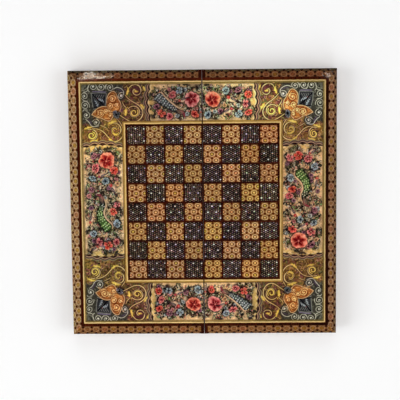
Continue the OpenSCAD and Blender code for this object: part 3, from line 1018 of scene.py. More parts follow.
# ---- small motifs
def leaf(sh, x, y, angle, length, width, body, rim, vein, rng=None, alpha=1.0, bend=0.0, soft=0.3):
    """A pointed leaf from (x, y). rim is its colour at the edge and vein the colour of its middle line."""
    c, s = math.cos(math.radians(angle)), math.sin(math.radians(angle))
    p = sh.place(np.array([(x, y), (x + length * c, y + length * s)], float))
    win = sh.window(p, width * 0.5 + abs(bend) + soft)
    if win is None:
        return
    ax, ay = p[1] - p[0]
    q = math.hypot(ax, ay)
    ax, ay = ax / q, ay / q
    dx, dy = sh.x[win] - p[0, 0], sh.y[win] - p[0, 1]
    a = (dx * ax + dy * ay) / q
    b = dy * ax - dx * ay
    inner = np.clip(a * (1 - a), 0, 0.25) * 4
    b = np.abs(b - bend * inner)
    half = 0.5 * width * np.sqrt(inner) * (1.15 - 0.35 * a)
    d = np.where((a > 0) & (a < 1), half - b, -9.0)
    cover = np.clip(0.5 + d / soft, 0, 1) * alpha
    m = np.clip(d / (0.3 * width), 0, 1)[..., None]
    colour = np.array(rim, float) * (1 - m) + np.array(body, float) * m
    if vein is not None:
        k = np.clip(1 - b / 0.28, 0, 1)[..., None] * (a < 0.85)[..., None] * 0.8
        colour = colour * (1 - k) + np.array(vein, float) * k
    sh.lay(win, cover, colour)


def curl_leaf(sh, x, y, angle, length, width, body, heart, flip=False):
    """A pointed gold leaf that bends like a hook, with small lobes on its outer side."""
    base = [(0, 0), (0.18, 0.30), (0.32, 0.26), (0.45, 0.50), (0.62, 0.34), (0.78, 0.38), (1.0, 0.02), (0.72, 0.06), (0.45, -0.06), (0.2, -0.12)]
    k = width / 0.5 / length
    out = turn([(a, b * k) for a, b in base], angle, x, y, length, flip)
    sh.fill(through(out, True, 3), heart, body, width * 0.45)
    mid = turn([(a, b * k) for a, b in [(0.1, 0.05), (0.4, 0.16), (0.7, 0.16), (0.92, 0.04)]], angle, x, y, length, flip)
    sh.stroke(through(mid), 0.35, (248, 232, 150), alpha=0.6, taper=(0.3, 0.1))


def tilted(points, x, y, phi, f):
    """Points squeezed to the share f across the direction phi in degrees, about (x, y)."""
    c, s = math.cos(math.radians(phi)), math.sin(math.radians(phi))
    out = []
    for a, b in points:
        u, v = (a - x) * c + (b - y) * s, (-(a - x) * s + (b - y) * c) * f
        out.append((x + u * c - v * s, y + u * s + v * c))
    return out


def blend(a, b, k):
    return tuple(u * (1 - k) + v * k for u, v in zip(a, b))


def blossom(sh, x, y, r, petals, rim, body, line, eye, rng):
    """A small flower, seen a little from the side: loose petals, pale at the edge, with dark folds in the middle."""
    n = petals + rng.choice((-1, 0, 0, 1))
    a0, phi, f = rng.uniform(0, 360), rng.uniform(0, 180), rng.uniform(0.70, 0.98)
    cx, cy = turn([(0.16 * r, 0)], rng.uniform(0, 360), x, y)[0]

    def put(pts, a, size):
        return tilted(turn(pts, a, cx, cy, size), x, y, phi, f)
    sh.dot(x + 0.5, y - 0.6, r * 1.04, tuple(v * 0.4 for v in line), alpha=0.62, soft=1.5)
    for i in range(n):
        a = a0 + 360.0 * i / n + rng.uniform(-12, 12)
        k = rng.uniform(0.85, 1.2) * min(1.0, 2.6 * math.tan(math.pi / n))
        w = r * rng.uniform(0.84, 1.16)
        shape = [(0.05, 0), (0.30, 0.26 * k), (0.66, 0.44 * k), (0.95, 0.30 * k), (rng.uniform(0.84, 0.98), 0.02), (1.0, -0.24 * k), (0.70, -0.44 * k), (0.32, -0.28 * k)]
        sh.fill(through(put(shape, a, w), True, 3), vary(body, rng, 22), vary(rim, rng, 16), r * 0.32, soft=0.5)
        sh.stroke(through(put([(0.22, -0.22 * k), (0.55, -0.4 * k), (0.9, -0.34 * k)], a, w)), 0.4, line, alpha=0.5, taper=(1, 0.3))
        sh.stroke(through(put([(0.5, 0.26 * k), (0.78, 0.32 * k), (0.93, 0.12 * k)], a, w)), 0.55, tuple(min(255, v + 34) for v in rim), alpha=0.75, taper=(0.3, 0.3))
    for i in range(n):
        if rng.random() < 0.85:
            a = a0 + 360.0 * i / n + rng.uniform(-16, 16)
            px, py = put([(0.06, 0)], a, r)[0]
            leaf(sh, px, py, a, r * rng.uniform(0.34, 0.74), r * rng.uniform(0.2, 0.38), line, blend(line, body, 0.3), None, alpha=0.88, soft=0.5)
    sh.dot(cx, cy, r * 0.22, line, soft=0.5)
    if rng.random() < 0.6:
        sh.dot(cx + 0.1, cy + 0.1, r * 0.12, eye)


def rose(sh, x, y, r, rng, tone=(228, 138, 108), mid=(194, 58, 48), deep=(86, 6, 12), heart=(240, 180, 156)):
    """A full rose: broad pale petals round a loose red cup, with dark folds in it and a pale eye."""
    pale = tuple(min(255, v + 20) for v in tone)
    a0, phi, f = rng.uniform(0, 360), rng.uniform(0, 180), rng.uniform(0.88, 0.96)
    ex, ey = turn([(0.10 * r, 0)], rng.uniform(0, 360), x, y)[0]

    def put(pts, a, size, cx=x, cy=y):
        return tilted(turn(pts, a, cx, cy, size), x, y, phi, f)
    sh.dot(x + 0.8, y - 1.0, r * 1.05, (48, 30, 24), alpha=0.62, soft=2.4)
    for i in range(7):
        a = a0 + 51.4 * i + rng.uniform(-8, 8)
        w = r * rng.uniform(0.92, 1.07)
        p = [(0.2, 0), (0.45, 0.36), (0.80, 0.46), (0.99, 0.24), (rng.uniform(0.90, 1.0), 0.0), (1.0, -0.2), (0.82, -0.44), (0.45, -0.36)]
        sh.fill(through(put(p, a, w), True, 4), vary(tone, rng, 14), vary(pale, rng, 10), r * 0.15, soft=0.5)
        sh.stroke(through(put([(0.97, 0.3), (0.8, 0.46), (0.55, 0.42)], a, w)), 0.6, mid, alpha=0.65, taper=(0.4, 1))
        sh.stroke(through(put([(0.66, -0.16), (0.82, -0.06), (0.93, 0.08)], a, w)), 0.5, mid, alpha=0.35, taper=(0.4, 0.3))
        for q in (0.24, -0.30):
            sh.stroke(through(put([(0.56, q * 0.6), (0.76, q * 0.9), (0.93, q)], a, w)), 0.75, vary((254, 206, 176), rng, 10), alpha=0.5, taper=(0.3, 0.6))

    def lobes(n, lo, hi, size):
        p = []
        q0 = rng.uniform(0, 360)
        for i in range(n):
            for t, w in ((0.0, lo), (0.3, hi * rng.uniform(0.86, 1.0)), (0.5, hi * rng.uniform(0.92, 1.1)), (0.7, hi * rng.uniform(0.86, 1.0))):
                u = math.radians(q0 + 360.0 * (i + t) / n)
                p.append((w * rng.uniform(0.94, 1.06) * math.cos(u), w * rng.uniform(0.94, 1.06) * math.sin(u)))
        return through(put(p, 0, size, ex, ey), True, 3)
    sh.fill(lobes(5, 0.56, 0.86, r), blend(mid, deep, 0.25), blend(mid, tone, 0.5), r * 0.2, soft=1.4)
    sh.fill(lobes(5, 0.36, 0.68, r), deep, blend(deep, mid, 0.45), r * 0.14, soft=1.3, alpha=0.92)
    for i in range(6):
        a = a0 + 60 * i + rng.uniform(-14, 14)
        px, py = put([(0.1, 0)], a, r, ex, ey)[0]
        leaf(sh, px, py, a, r * rng.uniform(0.34, 0.54), r * rng.uniform(0.09, 0.15), blend(mid, tone, 0.35), mid, heart, alpha=0.8, soft=0.5)
    for i in range(7):
        a = a0 + 51 * i + rng.uniform(-14, 14)
        sh.stroke(through(put([(0.2, 0.0), (0.42, 0.06), (rng.uniform(0.56, 0.74), 0.0)], a, r, ex, ey)), 0.8, deep, alpha=0.85, taper=(1, 0.2))
    for i in range(6):
        a = a0 + 60 * i + rng.uniform(-20, 20)
        sh.stroke(through(put([(0.62, -0.06), (0.76, 0.04), (0.9, 0.0)], a, r)), 0.5, blend(mid, deep, 0.3), alpha=0.6, taper=(0.8, 0.2))
    sh.dot(ex, ey, r * 0.10, heart, rim=mid)
    sh.dot(x - 0.35 * r, y + 0.62 * r, r * 0.16, (250, 206, 176), alpha=0.35, soft=1.6)
    sh.dot(x + 0.42 * r, y - 0.6 * r, r * 0.3, blend(mid, deep, 0.4), alpha=0.25, soft=2.4)


def sprig(sh, s, t, size, tones, dark, vein, n, rng, haze=0.0):
    """A few leaves from one point."""
    a = rng.uniform(0, 360)
    if haze:
        sh.dot(s, t, size * 0.9, (54, 42, 30), alpha=haze, soft=size * 0.9)
    for q in range(n):
        c = vary(rng.choice(tones), rng, 14)
        b = a + (q - (n - 1) / 2) * rng.uniform(44, 70)
        k = size * rng.uniform(0.75, 1.15)
        leaf(sh, s, t, b, k, k * rng.uniform(0.38, 0.56), c, tuple(v * dark for v in c),
             tuple(min(255, v + vein) for v in c), bend=rng.uniform(-0.4, 0.4), soft=0.36)


def songbird(sh, x, y, angle, size, rng, flip=False, cap=(196, 48, 44), back=(36, 28, 28), breast=(220, 186, 152)):
    def q(pts):
        return turn(pts, angle, x, y, size, flip)
    # tail, body, breast, wing, head
    sh.fill(through(q([(-0.6, 0.02), (-1.0, 0.02), (-1.55, -0.18), (-1.62, -0.04), (-1.5, 0.14), (-0.9, 0.24), (-0.5, 0.2)]), True, 4), back, (84, 60, 66), 0.3)
    sh.fill(through(q([(-0.75, 0.08), (-0.3, 0.38), (0.3, 0.36), (0.62, 0.1), (0.5, -0.3), (0.0, -0.46), (-0.5, -0.2)]), True, 4), breast, (150, 100, 84), 0.7)
    sh.fill(through(q([(-0.8, 0.06), (-0.35, 0.3), (0.2, 0.34), (0.34, 0.14), (0.05, -0.02), (-0.4, -0.06)]), True, 4), back, (96, 74, 92), 0.5)
    for i in range(3):
        sh.stroke(through(q([(-0.62 + 0.16 * i, 0.04), (-0.3 + 0.16 * i, 0.16), (0.0 + 0.1 * i, 0.26)])), 0.3, (196, 176, 160), alpha=0.8)
    sh.fill(through(q([(0.42, 0.0), (0.5, 0.34), (0.78, 0.4), (1.0, 0.22), (0.96, -0.02), (0.68, -0.14)]), True, 4), cap, (108, 24, 28), 0.5)
    sh.fill(q([(0.94, 0.16), (1.26, 0.08), (0.94, 0.02)]), (40, 30, 26))
    e = q([(0.78, 0.16)])[0]
    sh.dot(e[0], e[1], 0.55, (244, 232, 210))
    sh.dot(e[0], e[1], 0.28, (16, 12, 12))
    for i in (0, 1):
        sh.stroke(q([(0.0 + 0.16 * i, -0.42), (0.04 + 0.16 * i, -0.72)]), 0.3, (90, 50, 36))


def peacock(sh, path, w0, w1, rng, body=(92, 132, 58), spot=(196, 220, 150), dark=(22, 28, 18), side=(222, 190, 150), flip=1):
    """A bird with a long spotted train, black and white near its body. path runs from its breast to the end of the train."""
    c = through(path, per=10)
    d = np.gradient(c, axis=0)
    d /= np.maximum(np.hypot(d[:, 0], d[:, 1])[:, None], 1e-9)
    nrm = np.stack([-d[:, 1], d[:, 0]], 1)
    s = np.linspace(0, 1, len(c))
    w = w0 + (w1 - w0) * s ** 1.2
    w = w * np.minimum(1, 0.45 + (1 - s) / 0.09)
    a, b = c + nrm * w[:, None] / 2, c - nrm * w[:, None] / 2
    off = nrm * flip * (w[:, None] * 0.5 + 1.0)
    sh.stroke(c + nrm * -flip * (w[:, None] * 0.5 + 0.2), 2.4, (38, 30, 22), alpha=0.55, soft=1.6)
    sh.stroke(c + off, 2.5, (170, 128, 92), side, taper=(0.3, 0.6))
    sh.fill(np.concatenate([a, b[::-1]]), blend(body, dark, 0.35), dark, 1.4)
    for k in range(len(c) * 2 // 5, -1, -1):
        sh.dot(c[k, 0], c[k, 1], w[k] * 0.5, blend((20, 16, 16), blend(body, dark, 0.35), (k / len(c) / 0.4) ** 2), soft=1.2)
    sh.stroke(c + nrm * -flip * (w[:, None] * 0.42), 1.6, dark, alpha=0.75, soft=1.0)
    sh.stroke(np.concatenate([a, b[::-1], a[:1]]), 0.6, dark)
    total = float(np.hypot(*(c[1:] - c[:-1]).T).sum())
    n = int(total / 2.45)
    for i in range(n):
        t = (i + 0.5) / n
        k = int(t * (len(c) - 1))
        rows = max(1, int(w[k] / 2.4))
        for j in range(rows):
            o = ((j + 0.5) / rows - 0.5) * w[k] * 0.9 + (0.55 if i % 2 else -0.55) * (rows > 1)
            px, py = c[k] + nrm[k] * o + np.array([rng.uniform(-0.2, 0.2), rng.uniform(-0.2, 0.2)])
            m = min(1.0, max(0.0, (t - 0.28) / 0.25))
            tone = vary(blend((214, 204, 196), spot, m), rng, 26)
            shadow = 0.72 if o * flip < -w[k] * 0.22 else 1.0
            sh.dot(px, py, 1.25, dark, soft=0.6, alpha=0.9)
            sh.dot(px, py, 0.98, blend(body, tone, 0.25), soft=0.5, alpha=m)
            sh.dot(px + 0.12, py + 0.14, 0.72, tuple(v * shadow for v in tone), soft=0.45)
    # breast, neck, head and wing at the start of the path
    ang = math.degrees(math.atan2(-d[0, 1], -d[0, 0]))
    x, y = c[0]
    f = flip < 0

    def q(pts):
        return turn(pts, ang, x, y, 1.0, f)
    sh.fill(through(q([(-7, 0.4), (-3.4, 2.4), (1.2, 2.3), (3.6, 0.2), (2.2, -2.2), (-1.8, -2.4), (-5.4, -1.4)]), True, 4), (150, 92, 84), (40, 28, 30), 1.2)
    sh.fill(through(q([(-7.5, 0.2), (-3.2, 1.9), (0.2, 1.5), (0.6, 0.2), (-2.4, -0.6), (-5.2, -0.7)]), True, 4), (42, 34, 36), (120, 96, 80), 0.7)
    for i in range(4):
        sh.stroke(through(q([(-5.6 + 1.4 * i, -0.4), (-4.4 + 1.4 * i, 0.6), (-3.4 + 1.2 * i, 1.4)])), 0.35, (206, 176, 130), alpha=0.85)
    sh.fill(through(q([(1.0, 0.4), (2.4, 2.2), (3.9, 4.2), (5.2, 4.9), (6.1, 4.2), (5.6, 3.0), (4.4, 1.0), (3.2, -1.2)]), True, 4), (150, 62, 66), (62, 24, 40), 0.9)
    sh.fill(q([(5.8, 4.5), (7.4, 4.0), (5.8, 3.7)]), (52, 36, 30))
    e = q([(5.2, 4.1)])[0]
    sh.dot(e[0], e[1], 0.6, (246, 236, 214))
    sh.dot(e[0], e[1], 0.3, (14, 10, 10))
    for i in (0, 1, 2):
        sh.stroke(through(q([(4.8, 4.8), (4.5 - 0.4 * i, 5.9 + 0.2 * i), (4.0 - 0.9 * i, 6.8)])), 0.3, (60, 40, 60))
    for i in (0, 1):
        sh.stroke(q([(-0.6 + 1.2 * i, -2.2), (-0.2 + 1.2 * i, -4.0)]), 0.4, (110, 66, 44))


SHADY = [(44, 38, 28), (54, 45, 35), (42, 42, 32), (62, 51, 39), (50, 49, 42)]
GREENS = [(86, 84, 48), (104, 100, 60), (112, 120, 68), (84, 66, 46), (126, 128, 88), (118, 112, 88), (94, 98, 78), (110, 70, 58)]
PALE = [(142, 146, 106), (166, 162, 124), (134, 140, 84), (160, 130, 96), (172, 174, 148), (128, 108, 80), (110, 142, 76), (182, 136, 118)]


# ---- flower-and-bird panel
def panel(sh, length, width, rng, kind):
    """The ground of one panel and all that is on it. s runs along it from its middle and t across it, both in mm."""
    hl, hw = length / 2, width / 2
    # foliage first: clumps of leaves, with bright ground between them
    waves = [(rng.uniform(0.28, 0.62), rng.uniform(0, 6.28), rng.uniform(0, 6.28)) for _ in range(7)]

    def clump(s, t):
        return sum(math.sin(w * (s * math.cos(a) + t * math.sin(a)) + b) for w, a, b in waves) / 7

    def free(s, t, margin):
        inside = min(hl - abs(s) + 1.0, hw - abs(t))
        return inside >= margin and clump(s, t) > -0.10 + 0.26 * max(0.0, 1 - (inside - 2.0) / 6.0)

    for _ in range(int(length * width / 9)):
        s, t = rng.uniform(-hl, hl), rng.uniform(-hw, hw)
        if free(s, t, 3.6) and clump(s, t) > -0.04:
            sh.dot(s, t, rng.uniform(1.4, 2.6), rng.choice([(44, 32, 22), (34, 28, 20), (58, 34, 30)]), alpha=0.58, soft=rng.uniform(1.2, 2.4))
    pitch = 4.7
    for layer, (tones, dark, size, vein) in enumerate(((SHADY, 0.36, 5.2, 44), (GREENS, 0.26, 4.9, 84), (PALE, 0.22, 4.3, 90))):
        n, m = int(length / pitch), int(width / pitch)
        for i in range(n):
            for j in range(m):
                s = (i + 0.5 + rng.uniform(-0.5, 0.5)) * length / n - hl
                t = (j + 0.5 + rng.uniform(-0.5, 0.5)) * width / m - hw
                if not free(s, t, 2.6 + layer * 0.4) or rng.random() < (0.15, 0.28, 0.40)[layer]:
                    continue
                sprig(sh, s, t, size, tones, dark, vein, (3, 3, 2)[layer], rng, haze=(0.25, 0.12, 0.0)[layer])
    for _ in range(int(length / 22)):
        s, t = rng.uniform(-hl + 12, hl - 12), rng.uniform(-hw + 9, hw - 9)
        a = rng.uniform(0, 360)
        pts = turn([(-7, -0.6), (-3, 0.9), (1.5, 0.2), (6.5, 1.8)], a, s, t, rng.uniform(0.7, 1.1))
        sh.stroke(through(pts), 1.25, (26, 16, 12), (44, 28, 20), taper=(0.4, 0.2))
        sh.stroke(through([(p + 0.3, q + 0.4) for p, q in pts]), 0.3, (150, 120, 90), alpha=0.7, taper=(0.3, 0.2))
    for _ in range(int(length * width / 11)):
        s, t = rng.uniform(-hl + 4.5, hl - 4.5), rng.uniform(-hw + 3.4, hw - 3.4)
        a = rng.uniform(0, 360)
        pts = turn([(0, 0), (1.6, 0.8), (3.4, 0.4)], a, s, t, 1.0, rng.random() < 0.5)
        sh.stroke(through(pts), 0.55, rng.choice([(246, 228, 186), (216, 190, 142), (184, 186, 160), (24, 18, 14), (18, 14, 12)]), alpha=0.9, taper=(1, 0.3))
    for _ in range(int(length * width / 13)):
        s, t = rng.uniform(-hl + 4.5, hl - 4.5), rng.uniform(-hw + 3.6, hw - 3.6)
        sh.dot(s, t, rng.uniform(0.4, 0.8), rng.choice([(240, 218, 180), (196, 86, 80), (176, 184, 178), (226, 184, 124), (24, 18, 18), (30, 22, 20), (218, 150, 132)]), alpha=0.9)
    for _ in range(int(length * width / (26 if kind == "end" else 60))):
        s, t = rng.uniform(-hl + 5, hl - 5), rng.uniform(-hw + 4.5, hw - 4.5)
        pts = turn([(0, 0), (1.4, 0.6), (2.9, 0.2)], rng.uniform(0, 360), s, t)
        sh.stroke(through(pts), rng.uniform(0.8, 1.3), rng.choice([(18, 12, 10), (26, 14, 14), (14, 16, 18), (30, 20, 14), (244, 218, 180), (230, 166, 146)]), alpha=0.88, taper=(1, 0.4))
    for _ in range(int(length * width / 190)):
        s, t = rng.uniform(-hl + 6, hl - 6), rng.uniform(-hw + 5, hw - 5)
        rim, body, line = rng.choice([((228, 168, 152), (176, 82, 84), (72, 16, 30)), ((204, 206, 196), (136, 146, 144), (30, 34, 44)), ((232, 200, 144), (196, 134, 88), (80, 40, 30)), ((170, 126, 134), (108, 56, 78), (34, 14, 28))])
        blossom(sh, s, t, rng.uniform(2.1, 3.0), 5, rim, body, line, (236, 210, 160), rng)

    def pink(s, t, r):
        r *= 1.1
        blossom(sh, s, t, r, 5, (232, 156, 140), (186, 70, 76), (86, 8, 26), (236, 206, 160), rng)

    def red(s, t, r):
        r *= 1.1
        blossom(sh, s, t, r, 5, (236, 132, 104), (196, 50, 44), (92, 6, 12), (236, 196, 120), rng)

    def blue(s, t, r):
        r *= 1.06
        blossom(sh, s, t, r, 5, (186, 196, 194), (112, 130, 138), (14, 20, 34), (214, 210, 180), rng)

    def plum(s, t, r):
        blossom(sh, s, t, r, 5, (184, 130, 136), (116, 54, 70), (34, 10, 22), (226, 190, 160), rng)

    if kind == "side":
        peacock(sh, [(4, 3), (-4, 1), (-12, 4.5), (-22, 3.0), (-33.5, -6.0)], 3.0, 11.4, rng)
        rose(sh, 46.0, -4.0, 9.6, rng)
        pink(36.5, 8.5, 4.8)
        plum(50.5, 10.8, 4.2)
        red(34.0, -11.5, 4.4)
        pink(-46.0, 6.5, 4.6)
        red(-49.5, -4.5, 4.5)
        pink(-46.5, -14.0, 4.0)
        blue(-37.0, 13.0, 4.2)
        blue(-26.0, -13.5, 4.3)
        blue(25.5, 12.5, 4.0)
        blue(22.5, -3.0, 3.8)
        red(-12.0, -11.0, 4.2)
        pink(-4.5, -14.5, 3.9)
        plum(12.5, 13.5, 3.6)
        songbird(sh, 14.0, -11.0, 24, 6.4, rng)
        songbird(sh, -20.5, 14.6, 172, 5.8, rng, flip=True, cap=(206, 74, 58))
        songbird(sh, 29.5, 1.5, 112, 5.3, rng, cap=(170, 40, 60), back=(44, 34, 44))
        songbird(sh, -54.5, 10.5, -60, 5.1, rng, cap=(198, 60, 50))
    else:
        for sg in (-1, 1):
            tone = (230, 134, 104) if sg > 0 else (224, 142, 132)
            mid = (196, 58, 46) if sg > 0 else (180, 54, 64)
            rose(sh, sg * 11.8, 3.0, 8.8, rng, tone=tone, mid=mid)
        peacock(sh, [(-22.5, -11.5), (-29, -8.5), (-36, -4.5), (-44, 1.5), (-51.0, 8.0)], 3.0, 10.8, rng, body=(104, 116, 112), spot=(206, 214, 208), dark=(32, 34, 36), flip=-1)
        blue(-24.5, 13.8, 4.2)
        pink(-33.0, 9.0, 4.1)
        red(-8.0, -13.0, 4.3)
        blue(7.0, -14.0, 4.4)
        plum(-51.0, -4.0, 3.8)
        red(-45.0, -12.5, 4.2)
        pink(-36.5, -15.0, 3.8)
        red(51.0, 8.5, 4.2)
        pink(49.0, -1.5, 4.3)
        red(51.5, -11.5, 3.9)
        plum(40.0, 13.0, 4.4)
        blue(27.0, 12.5, 4.3)
        blue(41.0, -13.0, 4.0)
        plum(20.0, -10.5, 3.4)
        songbird(sh, 33.5, 2.5, 158, 6.9, rng, flip=True)
        songbird(sh, 29.0, -10.0, 20, 6.2, rng, cap=(176, 46, 58), back=(50, 36, 46))
        songbird(sh, -1.2, -14.0, 80, 4.6, rng, cap=(206, 84, 66))
        songbird(sh, -21.5, 2.5, 200, 5.3, rng, flip=True, cap=(198, 60, 50))


def scallops(length, width, pitch=9.4, bow=4.2, bump=1.9, n=10):
    """The wavy end of a panel: points (s, t) from one side to the other, bowed outwards."""
    out = []
    k = max(1, round(width / pitch))
    for i in range(k * n + 1):
        t = i / (k * n)
        s = bow * (1 - (2 * t - 1) ** 2) + bump * abs(math.sin(math.pi * k * t)) - bump * 0.5
        out.append((length / 2 + s - bow * 0.8, width * (t - 0.5)))
    return out


def panel_outline(length, width):
    end = scallops(length, width)
    return end + [(-s, -t) for s, t in end]


def lay_panel(sh, cx, cy, along_y, length, width, seed, kind, flip):
    rng = random.Random(seed)
    old = sh.place, sh.mask

    def place(p):
        q = p * (-1.0 if flip else 1.0)
        if along_y:
            q = np.stack([-q[:, 1], q[:, 0]], 1)
        return q + np.array([cx, cy])

    sh.place = place
    out = np.array(panel_outline(length, width + 6))
    # lines outside the ground: pale, dark, pale
    end = np.array(scallops(length, width + 2))
    for sg in (1, -1):
        e = end * sg
        for grow, w, c, h in ((4.9, 0.9, (110, 100, 66), (156, 150, 108)), (3.6, 1.5, (74, 52, 52), (96, 70, 66)), (2.4, 0.8, (170, 132, 104), (196, 164, 124)), (0.9, 1.9, (34, 18, 18), (44, 24, 30))):
            sh.stroke(e + np.array([sg * grow, 0]), w, c, h)
    win = sh.window(place(out), 1)
    keep = np.zeros(sh.x.shape)
    sh.mask = None
    paint = sh.img
    sh.img = np.zeros(paint.shape)
    sh.fill(out, (255, 255, 255))
    keep[win] = sh.img[win][..., 0] / 255.0
    sh.img = paint
    sh.mask = keep
    x, y = sh.x[win], sh.y[win]
    m = cloud(x, y, 9.0, seed + 3)[..., None]
    n = cloud(x, y, 1.6, seed + 4)[..., None]
    along = np.abs(y - cy) if along_y else np.abs(x - cx)
    gold = np.clip((along - length / 2 + 9) / 8, 0, 1)[..., None]
    ground = np.array([247.0, 211, 160]) * (1 - m) + np.array([222.0, 180, 124]) * m
    ground = ground * (1 - gold) + np.array([222.0, 188, 106]) * gold + (n - 0.5) * 30
    sh.lay(win, np.ones(x.shape), ground)
    # inner line along the wavy ends and the long sides
    for sg in (1, -1):
        e = end * sg
        sh.stroke(e - np.array([sg * 0.7, 0]), 1.5, (216, 180, 116), (240, 216, 160))
    panel(sh, length, width, rng, kind)
    for sg in (1, -1):
        sh.stroke([(-length / 2, sg * (width / 2 - 0.5)), (length / 2, sg * (width / 2 - 0.5))], 1.6, (206, 164, 104), (218, 178, 118), alpha=0.85)
    sh.place, sh.mask = old


# ---- corner ornament, in mm from the board's corner along each edge
def corner(sh, place, rng):
    sh.place = place
    grey, hair = (146, 142, 120), (206, 202, 182)
    zone = [(13, 13), (58, 13), (62, 19), (66, 26), (62, 33), (55, 35), (47, 34), (43, 44), (33, 50), (37, 58), (34, 64), (27, 63), (20, 58), (13, 58)]
    sh.fill(through(zone, True, 5), (54, 52, 44), (70, 58, 44), 2.0, soft=1.2)
    for _ in range(420):
        a, b = rng.uniform(14.5, 61), rng.uniform(14.5, 59)
        if a > 34 and b > 34 or (a > 44 and b > 30):
            continue
        pts = turn([(0, 0), (0.9, 0.7), (1.9, 0.5), (2.1, -0.3)], rng.choice((80, 100, 260, 280, 0, 180)) + rng.uniform(-18, 18), a, b, rng.uniform(0.7, 1.1), rng.random() < 0.5)
        sh.stroke(through(pts, per=3), 0.42, rng.choice([(128, 126, 104), (154, 150, 130), (104, 104, 84), (20, 20, 18), (16, 16, 18)]), alpha=0.75, taper=(1, 0.3))
    for _ in range(150):
        a, b = rng.uniform(14, 62), rng.uniform(14, 60)
        if a > 34 and b > 34 or (a > 44 and b > 30):
            continue
        leaf(sh, a, b, rng.uniform(0, 360), rng.uniform(1.6, 3.2), rng.uniform(0.7, 1.1), rng.choice([(52, 50, 38), (44, 40, 34), (84, 84, 62), (70, 74, 50), (96, 92, 84), (70, 52, 66)]), (40, 36, 30), None, rng, alpha=0.8)
    # small corner leaf
    for k in range(4):
        sh.stroke(through([(15.4 + 1.6 * k, 15.6), (15.2 + 1.0 * k, 17.6 + k * 0.6), (15.6, 19.8 + 1.0 * k)]), 0.5, (140, 138, 118), alpha=0.85)
    sh.stroke(through([(15.2, 22.5), (19.5, 21.8), (22.6, 19.5), (23.6, 15.4)]), 0.6, (160, 156, 134))
    # grey scrolls along both edges
    def curl(x, y, r, turns, start, way, dot=0.85, w=0.7):
        r *= 1.08
        sh.dot(x, y, r * 0.95, (46, 44, 34), alpha=0.5, soft=1.6)
        sh.stroke(coil(x, y, r, turns, start, way), w + 0.6, (34, 32, 26), alpha=0.6)
        sh.stroke(coil(x, y, r, turns, start, way), w, grey, hair)
        sh.dot(x, y, dot, (230, 228, 214), rim=(190, 188, 172))
    curl(28.4, 18.3, 4.5, 1.6, 170, 1, 0.95)
    curl(37.4, 18.0, 4.1, 1.5, 185, -1, 0.8)
    curl(46.9, 18.8, 4.3, 1.7, 160, 1, 0.8)
    curl(59.5, 28.4, 3.6, 1.35, -60, -1, 1.15)
    curl(18.9, 28.4, 4.2, 1.6, 100, 1, 0.8)
    curl(19.1, 38.4, 4.6, 1.7, 20, -1, 0.7)
    curl(20.2, 49.1, 3.9, 1.3, -90, 1, 1.05)
    curl(31.2, 57.8, 4.0, 1.5, 200, 1, 0.95)
    for pts, w in (([(23.6, 17.0), (22.8, 21.5), (24.6, 24.0)], 0.6), ([(33.0, 18.6), (33.4, 20.6), (35.2, 22.2)], 0.55), ([(41.4, 18.6), (42.6, 16.2), (44.8, 14.9)], 0.55),
                   ([(50.9, 20.2), (54.8, 18.8), (59.0, 20.0), (62.2, 23.2), (62.6, 27.4)], 0.65), ([(17.8, 24.2), (21.2, 23.6), (23.6, 21.8)], 0.55), ([(22.2, 33.6), (18.6, 33.4), (16.4, 31.8)], 0.5),
                   ([(16.4, 45.4), (17.6, 43.4), (21.4, 43.2)], 0.5), ([(19.4, 53.6), (23.0, 56.8), (26.0, 61.4), (29.2, 62.4), (33.6, 61.4)], 0.65)):
        sh.stroke(through(pts), w + 0.8, (34, 32, 26), alpha=0.5)
        sh.stroke(through(pts), w + 0.2, grey, hair)
    sh.stroke(through([(53.0, 20.6), (58.0, 21.8), (61.8, 24.6)]), 1.1, (78, 66, 92), alpha=0.7, taper=(0.2, 0.2))
    sh.stroke(through([(22.0, 53.0), (25.0, 57.0), (26.6, 60.4)]), 1.3, (84, 62, 96), alpha=0.7, taper=(0.2, 0.2))
    # dark blue square with crossing bars
    sq = [(26.6, 25.6), (34.6, 24.8), (42.8, 25.0), (42.6, 33.4), (42.2, 41.4), (35.0, 41.2), (28.6, 42.6), (27.0, 34.0)]
    sh.fill(sq, (42, 42, 44), (22, 21, 24), 1.0)
    sh.stroke(np.array(sq + sq[:1]), 0.8, (96, 98, 98), (126, 126, 116))
    sh.stroke([(28.4, 23.8), (34, 23.6), (42, 23.8)], 0.9, (96, 84, 116), (124, 112, 140))
    for k in range(6):
        o = 2.5 * k
        sh.stroke([(28.0 + o, 27.0), (28.0 + o * 0.4, 28.0 + 2.1 * k)], 0.85, (130, 130, 126), (182, 182, 176), alpha=0.95, taper=(0.5, 0.5))
        sh.stroke([(29.0 + o, 27.2 + o * 0.2), (29.4 + o * 0.5, 29.0 + 2.2 * k)], 0.8, (4, 4, 8))
    sh.stroke([(28.2, 27.0), (34.8, 33.6), (41.2, 40.2)], 1.5, (10, 10, 14))
    for k in range(3):
        sh.stroke([(33.4 + 2.6 * k, 30.4 + 1.0 * k), (35.6 + 2.2 * k, 33.0 + 1.2 * k)], 0.7, (132, 144, 154), (182, 190, 196))
        sh.stroke([(30.2 + 1.0 * k, 33.4 + 2.6 * k), (32.8 + 1.2 * k, 35.6 + 2.2 * k)], 0.7, (132, 144, 154), (182, 190, 196))
    sh.dot(33.4, 31.0, 0.8, (112, 66, 62), alpha=0.8)
    sh.stroke([(27.6, 41.4), (34.4, 40.0), (41.4, 40.2)], 0.8, (10, 10, 14))
